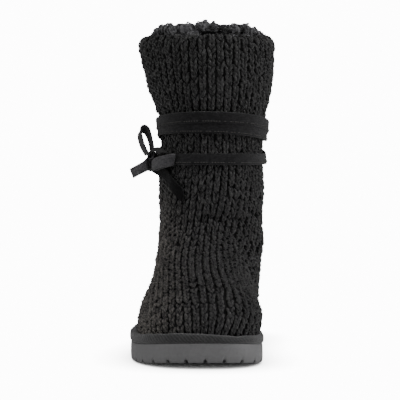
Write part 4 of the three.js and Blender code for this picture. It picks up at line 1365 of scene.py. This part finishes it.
    def roll(self):
        """The cuff's rolled top."""
        form, s = self.form, self.form.s
        level = s.collar_height - s.cuff_roll
        rings = []
        for turn in np.linspace(self.ROLL_FROM, 1.0, self.ROLL_RINGS):
            angle = turn * 0.5 * np.pi
            drawn = s.cuff_roll * self.ROLL_WIDE * (1 - math.cos(angle))
            ring = form.sections(form.level_planes([level]), self.around, drawn)[0]
            ring[:, 2] = level + s.cuff_roll * math.sin(angle)
            rings.append(ring)
        return np.array(rings)

    @staticmethod
    def outward(p):
        """Unit normals, away from the foot."""
        return unit(np.cross(across_columns(p), np.gradient(p, axis=0)))

    def fold(self):
        """Presses the soft folds into the surface."""
        s, p = self.form.s, self.points
        side = (p[..., 0] - s.shaft_shift) / s.shaft_width
        up = p[..., 2] / s.instep_height
        front = ease((self.form.shaft_d - self.FOLD_BEFORE - p[..., 1]) / self.FOLD_FADE)
        push = np.zeros(side.shape)
        for row in FRONT_FOLDS:
            fold = dict(zip(FOLD_COLUMNS, row))
            off = (side - fold["side"]) / fold["reach"]
            line = fold["up"] - fold["droop"] * off * off
            near = np.exp(-(((up - line) * s.instep_height / fold["wide"]) ** 2))
            push -= fold["deep"] * near * np.exp(-(off**4)) * front
        self.points = p + self.normals * push[..., None]

    def shell(self, name, material, depth):
        """The ribbed ground of the knit, under the stitches."""
        form, s = self.form, self.form.s
        wave = 0.5 - 0.5 * np.cos(2 * np.pi * np.arange(self.around) / self.PER_RIB)
        drop = depth + s.rib_depth * wave
        points = self.points - self.normals * drop[None, :, None]
        floor = form.sole_top(points[..., 1]) + self.OVER_SOLE
        under = points[..., 2] < floor
        points[..., 2] = np.maximum(points[..., 2], floor)
        quads = quads_of_grid(*points.shape[:2])
        keep = ~under.ravel()[quads].all(1)
        run = np.cumsum(np.linalg.norm(np.diff(points, axis=0), axis=-1), axis=0)
        run = np.concatenate([np.zeros((1, self.around)), run])
        u = np.broadcast_to(np.arange(self.around) / self.PER_RIB, run.shape)
        uvs = np.stack([u, run], -1).reshape(-1, 2)
        return make_piece(form, name, points.reshape(-1, 3), quads[keep], material, uvs)

    def rib(self, index):
        """A rib's crest: points, normals, and the vectors across the rib."""
        column = index * self.PER_RIB
        left = self.points[:, (column - self.PER_RIB // 2) % self.around]
        right = self.points[:, (column + self.PER_RIB // 2) % self.around]
        return self.points[:, column], unit(self.normals[:, column]), right - left


STITCH_UNEVEN = 0.09  # share of the stitch's pitch
OVER_RAND = 1.0  # the lowest stitches stand this far above the sole's top
LEG_STEPS = 6
LEG_SIDES = 7
LEG_INNER = 0.078  # a leg's foot, as a share of the rib's width from its crest
LEG_SPLAY = 0.2
LEG_RUN = (-0.55, 0.68)  # along the rib, as shares of the stitch's pitch
LEG_RISE = 1.1
LEG_SUNK = 1.3
LEG_UNEVEN = (0.045, 0.12, 0.32)  # share of the rib's width, share of the pitch, millimetres out
LEG_THIN = 0.6  # share of the yarn's thickness at a leg's ends
RIB_ROUND = 3.0  # how far the gutters lie below the crests
RIB_WIDE = 6.3  # the width of a rib that full yarn fits
OPEN_SHARE = 0.27  # share of the stitches that stand open
OPEN_WIDE = 1.25
SHUT_WIDE = 0.95
WIDE_UNEVEN = 0.1
YARN_UNEVEN = 0.12
YARN_FIT = (0.7, 1.08)  # the least and most of its thickness that yarn has on narrow and wide ribs


def stitch_frames(knit, rng):
    """Where each stitch sits, rib by rib: middle, along, across its rib, outward, and a random rank."""
    form, s = knit.form, knit.form.s
    found = []
    for rib in range(s.rib_count):
        points, normals, wide = knit.rib(rib)
        run = run_along(points)
        shift = rng.uniform(0, 1.0) * s.stitch
        at = np.arange(shift, run[-1] - 0.3 * s.stitch, s.stitch)
        at = at + rng.normal(0, STITCH_UNEVEN * s.stitch, len(at))
        middle = at_places(at, run, points)
        outward = unit(at_places(at, run, normals))
        around = at_places(at, run, wide)
        along = at_places(at, run, np.gradient(points, run, axis=0))
        keep = middle[:, 2] > form.sole_top(middle[:, 1]) + OVER_RAND
        order = rng.random(len(at))
        found.append([v[keep] for v in (middle, along, around, outward, order)])
    return [np.concatenate([part[k] for part in found]) for k in range(5)]


def stitch_legs(knit, rng):
    """Two legs of plied yarn to each stitch, as tube paths, outward directions and radii."""
    s = knit.form.s
    middle, along, around, outward, order = stitch_frames(knit, rng)
    wide = np.linalg.norm(around, axis=1)
    around = unit(around)
    along = square_to(along, outward)
    t = np.linspace(0, 1, LEG_STEPS)
    tuck = np.where(order < OPEN_SHARE, OPEN_WIDE, SHUT_WIDE) * rng.normal(1, WIDE_UNEVEN, len(wide))
    paths, normals, radii = [], [], []
    for side in (-1, 1):
        jitter = rng.normal(0, 1, (len(wide), 3)) * LEG_UNEVEN
        splay = LEG_INNER + LEG_SPLAY * np.sin(0.5 * np.pi * t) ** 1.15
        u = side * splay[None] * tuck[:, None] + jitter[:, :1]
        v = mix(*LEG_RUN, t)[None] + jitter[:, 1:2]
        rise = LEG_RISE * np.sin(np.pi * t) ** 0.7 - LEG_SUNK
        h = rise[None] + jitter[:, 2:] - RIB_ROUND * (np.abs(u) / 0.5) ** 2
        path = (
            middle[:, None]
            + around[:, None] * (u * wide[:, None])[..., None]
            + along[:, None] * (v * s.stitch)[..., None]
            + outward[:, None] * h[..., None]
        )
        thick = s.yarn / 2 * mix(LEG_THIN, 1, np.sin(np.pi * t) ** 0.6)
        thick = thick[None] * rng.normal(1, YARN_UNEVEN, (len(wide), 1))
        thick = thick * np.clip(wide / RIB_WIDE, *YARN_FIT)[:, None]
        paths.append(path)
        normals.append(np.broadcast_to(outward[:, None], path.shape))
        radii.append(thick)
    return tuple(np.concatenate(v) for v in (paths, normals, radii))


class BOOT_OT_upper(bpy.types.Operator):
    """The chunky rib knit: its ground and the stitches that stand on it"""

    bl_idname = "boot.upper"
    bl_label = "Knit upper"

    SPLIT = 4  # pieces that the stitches are shared over, from the floor up
    HAIRS = 7500
    HAIR_STEPS = 4
    HAIR_REACH = (1.5, 3.2)
    HAIR_BEND = 0.5
    HAIR_OUT = 0.9
    HAIR_LOOSE = 0.6
    HAIR_SIDES = 3
    HAIR_RADII = (0.13, 0.12, 0.09, 0.04)

    def execute(self, context):
        form, groups, colours = BootForm(), node_groups(), context.scene.boot_colours
        rng = np.random.default_rng(SEED)
        knit = KnitSurface(form)
        # Painted shade: the knit's ground under the stitches is darker than the yarn it stands for; the stray
        # hairs use the same material.
        ground = fibre_material(
            "shaded_knit_ground", colours.yarn_dark, [c * 0.7 for c in colours.yarn_light], groups,
            scale=900.0, strength=0.5, roughness=0.97, specular=0.08,
        )
        yarn = yarn_material("plied_yarn", colours.yarn_dark, colours.yarn_light, groups)
        shell = knit.shell("shaded_knit_ground", ground, 1.0)
        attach(shell, "root")
        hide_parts("upper")
        paths, outward, radii = stitch_legs(knit, rng)
        order = np.argsort(paths[:, 0, 2], kind="stable")
        for k, part in enumerate(np.array_split(order, self.SPLIT)):
            points, quads, uvs = tubes(paths[part], outward[part], radii[part], LEG_SIDES)
            uvs[:, 0] += 0.02 + np.repeat(rng.integers(0, TONES, len(part)), LEG_STEPS * LEG_SIDES)
            piece = make_piece(form, f"stitches_{k + 1}", points, quads, yarn, uvs)
            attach(piece, "root")
        points, quads, uvs = self.hairs(paths, outward, rng)
        fuzz = make_piece(form, "yarn_fuzz", points, quads, ground, uvs)
        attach(fuzz, "root")
        return {"FINISHED"}

    @classmethod
    def hairs(cls, paths, outward, rng):
        """Short stray fibres that stand off the yarn."""
        leg = rng.integers(0, len(paths), cls.HAIRS)
        step = rng.integers(1, LEG_STEPS - 1, cls.HAIRS)
        root, out = paths[leg, step], outward[leg, step]
        loose = rng.normal(0, 1, root.shape)
        lean = unit(out * cls.HAIR_OUT + loose * cls.HAIR_LOOSE)
        bend = square_to(loose, lean)
        t = np.linspace(0, 1, cls.HAIR_STEPS)
        reach = rng.uniform(*cls.HAIR_REACH, cls.HAIRS)[:, None]
        path = root[:, None] + lean[:, None] * (reach * t)[..., None]
        path = path + bend[:, None] * (reach * cls.HAIR_BEND * t**2)[..., None]
        radii = np.broadcast_to(np.array(cls.HAIR_RADII), path.shape[:2])
        return tubes(path, np.broadcast_to(bend[:, None] + 0.1, path.shape), radii, cls.HAIR_SIDES)


# The fleece collar and lining

class BOOT_OT_collar(bpy.types.Operator):
    """The curly fleece collar and the lining below it"""

    bl_idname = "boot.collar"
    bl_label = "Fleece collar"

    AROUND = 260
    CUFF_WALL = 6.3  # from the knit's face in to the fleece
    # The fleece's section over the cuff: in from the cuff's wall, up from the collar's height.
    TOP = ((0.8, -6.0), (3.2, -1.0), (3.0, 1.2), (1.0, 4.0), (1.3, 6.8), (3.6, 8.6), (6.0, 7.4), (7.8, 4.0))
    # Its section down inside: short of the fleece's thickness, up from the collar's height.
    INSIDE = ((0.0, -2.0), (0.0, -12.0), (1.0, -26.0), (3.0, -44.0))
    SLACK_OUTER = 5.5  # how far the fleece stands in from the flared cuff at its outer side
    SLACK_INNER = 2.5
    DROP_OUTER = 2.2  # how much lower the fleece stands at its sides
    DROP_INNER = 3.8
    BACK_RISE = -2.6
    FRONT_RISE = 0.2
    SLACK_FROM = -14  # from the collar's height, where the fleece starts to stand in
    SLACK_OVER = 16
    RISE_OVER = 6
    LINING_INSET = 7.0
    LINING_TOP = 60  # below the collar's height
    LINING_FOOT = 20  # above the ankle's
    LINING_RINGS = 14
    LUMP = 8.6
    LUMP_RISE = 7.4
    LUMP_LEVEL = 0.82  # the height of a lump that leaves the fleece's face where it was
    LUMP_TRIES = 4000
    CURLS = 2300
    CURL_STEPS = 7
    CURL_SIDES = 5
    CURL_RADIUS = 0.85
    CURL_SPREAD = (1.1, 1.8)  # of a beta draw from the collar's edge to the lining's foot
    CURL_TURNS = (0.5, 0.95)
    CURL_SIZES = (0.5, 1.0)
    CURL_CLOSES = 0.6  # share of a curl's width at its end
    CURL_FOOT = 0.15  # how high a curl's ends and middle stand
    CURL_RISE = 0.75
    CURL_RISES = (0.5, 1.4)
    CURL_THICKNESSES = (0.8, 1.25)

    def execute(self, context):
        form, groups, colours = BootForm(), node_groups(), context.scene.boot_colours
        rng = np.random.default_rng(SEED + 1)
        fleece = fibre_material(
            "curly_fleece", colours.fleece_dark, colours.fleece_light, groups, scale=650.0,
            strength=0.8, shaded_hollows=True, patch=160.0, roughness=0.95, specular=0.1, sheen=0.35,
        )
        rings, high = self.lumpy(*self.rings(form), rng)
        quads = quads_of_grid(len(rings), self.AROUND)
        # The heights go into the UV map, so that the fleece's material paints shade into the hollows.
        heights = np.stack([high.ravel(), np.zeros(high.size)], 1)
        base = make_piece(form, "fleece_ground", rings.reshape(-1, 3), quads, fleece, heights)
        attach(base, "root")
        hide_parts("fleece_collar")
        deep, raised = [c * 2.2 for c in colours.fleece_dark], [c * 1.25 for c in colours.fleece_light]
        tips = fibre_material(
            "fleece_tips", deep, raised, groups, scale=900.0,
            strength=0.8, shaded_hollows=True, patch=220.0, roughness=0.95, specular=0.1, sheen=0.3,
        )
        points, quads, uvs = self.curls(form, rings, high, rng)
        curls = make_piece(form, "fleece_curls", points, quads, tips, uvs)
        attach(curls, "root")
        return {"FINISHED"}

    def rings(self, form):
        """The collar's body and its normals, from the cuff over the top and down inside as the lining."""
        s = form.s
        profile = [*self.TOP, *((s.fleece_thick - less, up) for less, up in self.INSIDE)]
        level = s.collar_height - s.cuff_roll
        rings = []
        for inward, up in smooth_path(profile, 4):
            z = s.collar_height + up
            planes = form.level_planes([min(z, level)])
            ring = form.sections(planes, self.AROUND, self.CUFF_WALL + inward)[0]
            out = unit(ring[:, :2] - ring[:, :2].mean(0))
            lean = np.where(out[:, 0] < 0, self.SLACK_OUTER, self.SLACK_INNER) * np.abs(out[:, 0]) ** 3
            near_top = ease((up - self.SLACK_FROM) / self.SLACK_OVER)
            ring[:, :2] -= out * (lean * near_top)[:, None]
            forward = np.clip(-out[:, 1], 0, 1)
            drop = np.where(out[:, 0] < 0, self.DROP_OUTER, self.DROP_INNER) * np.abs(out[:, 0]) ** 1.4
            rise = mix(self.BACK_RISE, self.FRONT_RISE, ease(forward)) - drop
            ring[:, 2] = z + rise * np.clip(up / self.RISE_OVER, 0, 1)
            rings.append(ring)
        top, foot = s.collar_height - self.LINING_TOP, s.ankle_height + self.LINING_FOOT
        for z in np.linspace(top, foot, self.LINING_RINGS):
            rings.append(form.sections(form.level_planes([z]), self.AROUND, self.LINING_INSET)[0])
        rings = np.array(rings)
        return rings, self.outward(rings, s)

    @staticmethod
    def outward(rings, s):
        """Unit normals of the rings, away from the cuff's wall."""
        normal = unit(np.cross(across_columns(rings), np.gradient(rings, axis=0)))
        facing = np.mean(normal[2, :, 0] * (rings[2, :, 0] - s.shaft_shift))
        return normal if facing > 0 else -normal

    def lumpy(self, rings, normal, rng):
        """The rings swollen into soft lumps of fleece, and how high each point stands."""
        flat = rings.reshape(-1, 3)
        tries = flat[rng.permutation(len(flat))[: self.LUMP_TRIES]]
        seeds = []
        for point in tries:
            if all(np.linalg.norm(point - seed) > self.LUMP * rng.uniform(0.85, 1.3) for seed in seeds):
                seeds.append(point)
        high = np.full(len(flat), -1.0)
        for seed, size in zip(seeds, rng.uniform(0.9, 1.15, len(seeds))):
            share = np.linalg.norm(flat - seed, axis=1) / (self.LUMP * size)
            high = np.maximum(high, np.sqrt(np.clip(1 - share**2, 0, 1)) * size)
        high = high.reshape(rings.shape[:2])
        return rings + normal * (self.LUMP_RISE * (high - self.LUMP_LEVEL))[..., None], high

    def curls(self, form, rings, high, rng):
        """Short curls of fleece, thick on the collar and thinner down the lining."""
        s = form.s
        normal = self.outward(rings, s)
        count = self.CURLS
        last = len(rings) - 2
        row = np.clip(rng.beta(*self.CURL_SPREAD, count) * last, 1, last).astype(int)
        column = rng.integers(0, self.AROUND, count)
        place, outward = rings[row, column], normal[row, column]
        side = unit(across_columns(rings)[row, column])
        up = np.cross(outward, side)
        turn = np.linspace(0, 1, self.CURL_STEPS)
        spins = rng.uniform(*self.CURL_TURNS, count) * rng.choice([-1, 1], count)
        spin = rng.uniform(0, 2 * np.pi, count)[:, None] + turn[None] * 2 * np.pi * spins[:, None]
        loop = s.curl / 2 * rng.uniform(*self.CURL_SIZES, count)[:, None]
        loop = loop * mix(1.0, self.CURL_CLOSES, turn)[None]
        rise = self.CURL_RISE * np.sin(np.pi * turn)[None]
        lift = self.CURL_FOOT + rise * rng.uniform(*self.CURL_RISES, count)[:, None]
        paths = (
            place[:, None]
            + side[:, None] * (loop * np.cos(spin))[..., None]
            + up[:, None] * (loop * np.sin(spin))[..., None]
            + outward[:, None] * lift[..., None]
        )
        outs = np.broadcast_to(outward[:, None], paths.shape)
        radii = self.CURL_RADIUS * np.sin(np.pi * mix(0.1, 0.9, turn)) ** 0.5
        radii = radii[None] * rng.uniform(*self.CURL_THICKNESSES, count)[:, None]
        points, quads, uvs = tubes(paths, outs, radii, self.CURL_SIDES)
        # Curls in the hollows get the same painted shade.
        uvs[:, 0] = np.repeat(high[row, column], self.CURL_STEPS * self.CURL_SIDES)
        return points, quads, uvs


# The stage

class BOOT_OT_stage(bpy.types.Operator):
    """Camera, floor and studio lights"""

    bl_idname = "boot.stage"
    bl_label = "Stage"

    CAMERA_BACK = 1500.0  # from the toe tip
    CAMERA_UP = 185.0
    CAMERA_SIDE = 3.1  # inwards of the ball's middle
    SENSOR = 36
    FOCAL_PIXELS = 1985.0
    PHOTO_PIXELS = 400.0
    HORIZON = 126.0  # rows of the photo above it
    WHITE = 13.0
    SKY = 0.33
    # How far the floor's painted contact shadow reaches, in metres, and how hard it falls off.
    SHADOW_REACH = 0.035
    SHADOW_POWER = 1.45
    FLOOR_HALF = 6.0
    AIM = (0, 0, 0.1)
    # The soft boxes: name, place in metres, size, watts.
    SOFT_BOXES = (
        ("soft_box_inner", (1.3, -0.4, 0.6), 0.8, 17.0),
        ("soft_box_outer", (-1.2, -0.6, 0.7), 0.8, 7.5),
        ("soft_box_above", (0.0, -0.5, 1.8), 1.0, 12.5),
    )

    def execute(self, context):
        form = BootForm()
        self.camera(form, context)
        self.floor()
        self.lights()
        return {"FINISHED"}

    def camera(self, form, context):
        """The camera at the photo's angle."""
        data = bpy.data.cameras.new("photo_camera")
        data.sensor_width = self.SENSOR
        data.lens = self.SENSOR * self.FOCAL_PIXELS / self.PHOTO_PIXELS
        data.clip_start = 0.1
        data.clip_end = 20
        camera = bpy.data.objects.new("photo_camera", data)
        context.scene.collection.objects.link(camera)
        camera.location = form.to_row([[self.CAMERA_SIDE, -self.CAMERA_BACK, self.CAMERA_UP]])[0]
        tilt = math.atan((self.PHOTO_PIXELS / 2 - self.HORIZON) / self.FOCAL_PIXELS)
        camera.rotation_euler = (math.pi / 2 - tilt, 0, 0)
        context.scene.camera = camera

    def floor(self):
        """A wide white floor, with a contact shadow painted into its glow by ambient occlusion."""
        material, tree, shader = new_material("studio_floor", roughness=0.9, specular=0.1)
        shader.inputs["Base Color"].default_value = (0.8, 0.8, 0.8, 1)
        # Painted contact shadow: the floor's glow is darkened where the boot occludes it.
        near = add(tree, "AmbientOcclusion", {"samples": 12}, Distance=self.SHADOW_REACH)["AO"]
        soft = maths(tree, "POWER", near, self.SHADOW_POWER)
        painted_shadow_glow = add(tree, "CombineColor", Red=soft, Green=soft, Blue=soft)["Color"]
        seen = add(tree, "Emission", Color=painted_shadow_glow, Strength=self.WHITE)["Emission"]
        self.only_seen(tree, seen, shader.outputs["BSDF"], tree.nodes["Material Output"])
        mesh = bpy.data.meshes.new("floor")
        far = self.FLOOR_HALF
        mesh.from_pydata([(-far, -far, 0), (far, -far, 0), (far, far, 0), (-far, far, 0)], [], [(0, 1, 2, 3)])
        mesh.materials.append(material)
        floor = bpy.data.objects.new("floor", mesh)
        bpy.context.scene.collection.objects.link(floor)

    @staticmethod
    def only_seen(tree, seen, lit, out):
        """One shader for what the camera sees, another for the light that is thrown on the boot."""
        both = tree.nodes.new("ShaderNodeMixShader")
        for socket, value in zip(both.inputs, (add(tree, "LightPath")["Is Camera Ray"], lit, seen)):
            feed(tree, socket, value)
        feed(tree, out.inputs["Surface"], both.outputs[0])

    def lights(self):
        """A soft even sky with a soft box to each side and one above."""
        world = bpy.data.worlds.new("studio")
        world.use_nodes = True
        tree = world.node_tree
        sky = tree.nodes["Background"]
        sky.inputs["Color"].default_value = (1, 1, 1, 1)
        sky.inputs["Strength"].default_value = self.SKY
        white = add(tree, "Background", Color=(1, 1, 1, 1), Strength=self.WHITE)["Background"]
        self.only_seen(tree, white, sky.outputs["Background"], tree.nodes["World Output"])
        bpy.context.scene.world = world
        for name, place, size, energy in self.SOFT_BOXES:
            data = bpy.data.lights.new(name, "AREA")
            data.energy = energy
            data.size = size
            light = bpy.data.objects.new(name, data)
            light.location = place
            aim = Vector(self.AIM) - Vector(place)
            light.rotation_euler = aim.to_track_quat("-Z", "Y").to_euler()
            bpy.context.scene.collection.objects.link(light)


OPERATORS = (BOOT_OT_stage, BOOT_OT_lace, BOOT_OT_sole, BOOT_OT_rand, BOOT_OT_upper, BOOT_OT_collar)


class BOOT_PT_sidebar(bpy.types.Panel):
    """Lists the boot's pieces in the sidebar"""

    bl_idname = "BOOT_PT_sidebar"
    bl_label = "Right sweater boot"
    bl_space_type = "VIEW_3D"
    bl_region_type = "UI"
    bl_category = "Boot"

    def draw(self, context):
        for operator in OPERATORS:
            self.layout.operator(operator.bl_idname)


CLASSES = (BootSizes, BootShape, BootColours, *OPERATORS, BOOT_PT_sidebar)


def register():
    """Registers the classes and the boot's properties."""
    for cls in CLASSES:
        bpy.utils.register_class(cls)
    bpy.types.Scene.boot_sizes = bpy.props.PointerProperty(type=BootSizes)
    bpy.types.Scene.boot_shape = bpy.props.PointerProperty(type=BootShape)
    bpy.types.Scene.boot_colours = bpy.props.PointerProperty(type=BootColours)


def unregister():
    """Takes the classes and properties away again."""
    del bpy.types.Scene.boot_colours
    del bpy.types.Scene.boot_shape
    del bpy.types.Scene.boot_sizes
    for cls in reversed(CLASSES):
        bpy.utils.unregister_class(cls)


def main():
    """Makes the whole boot and its stage."""
    register()
    for operator in OPERATORS:
        group, name = operator.bl_idname.split(".")
        getattr(getattr(bpy.ops, group), name)()


if __name__ == "__main__":
    main()
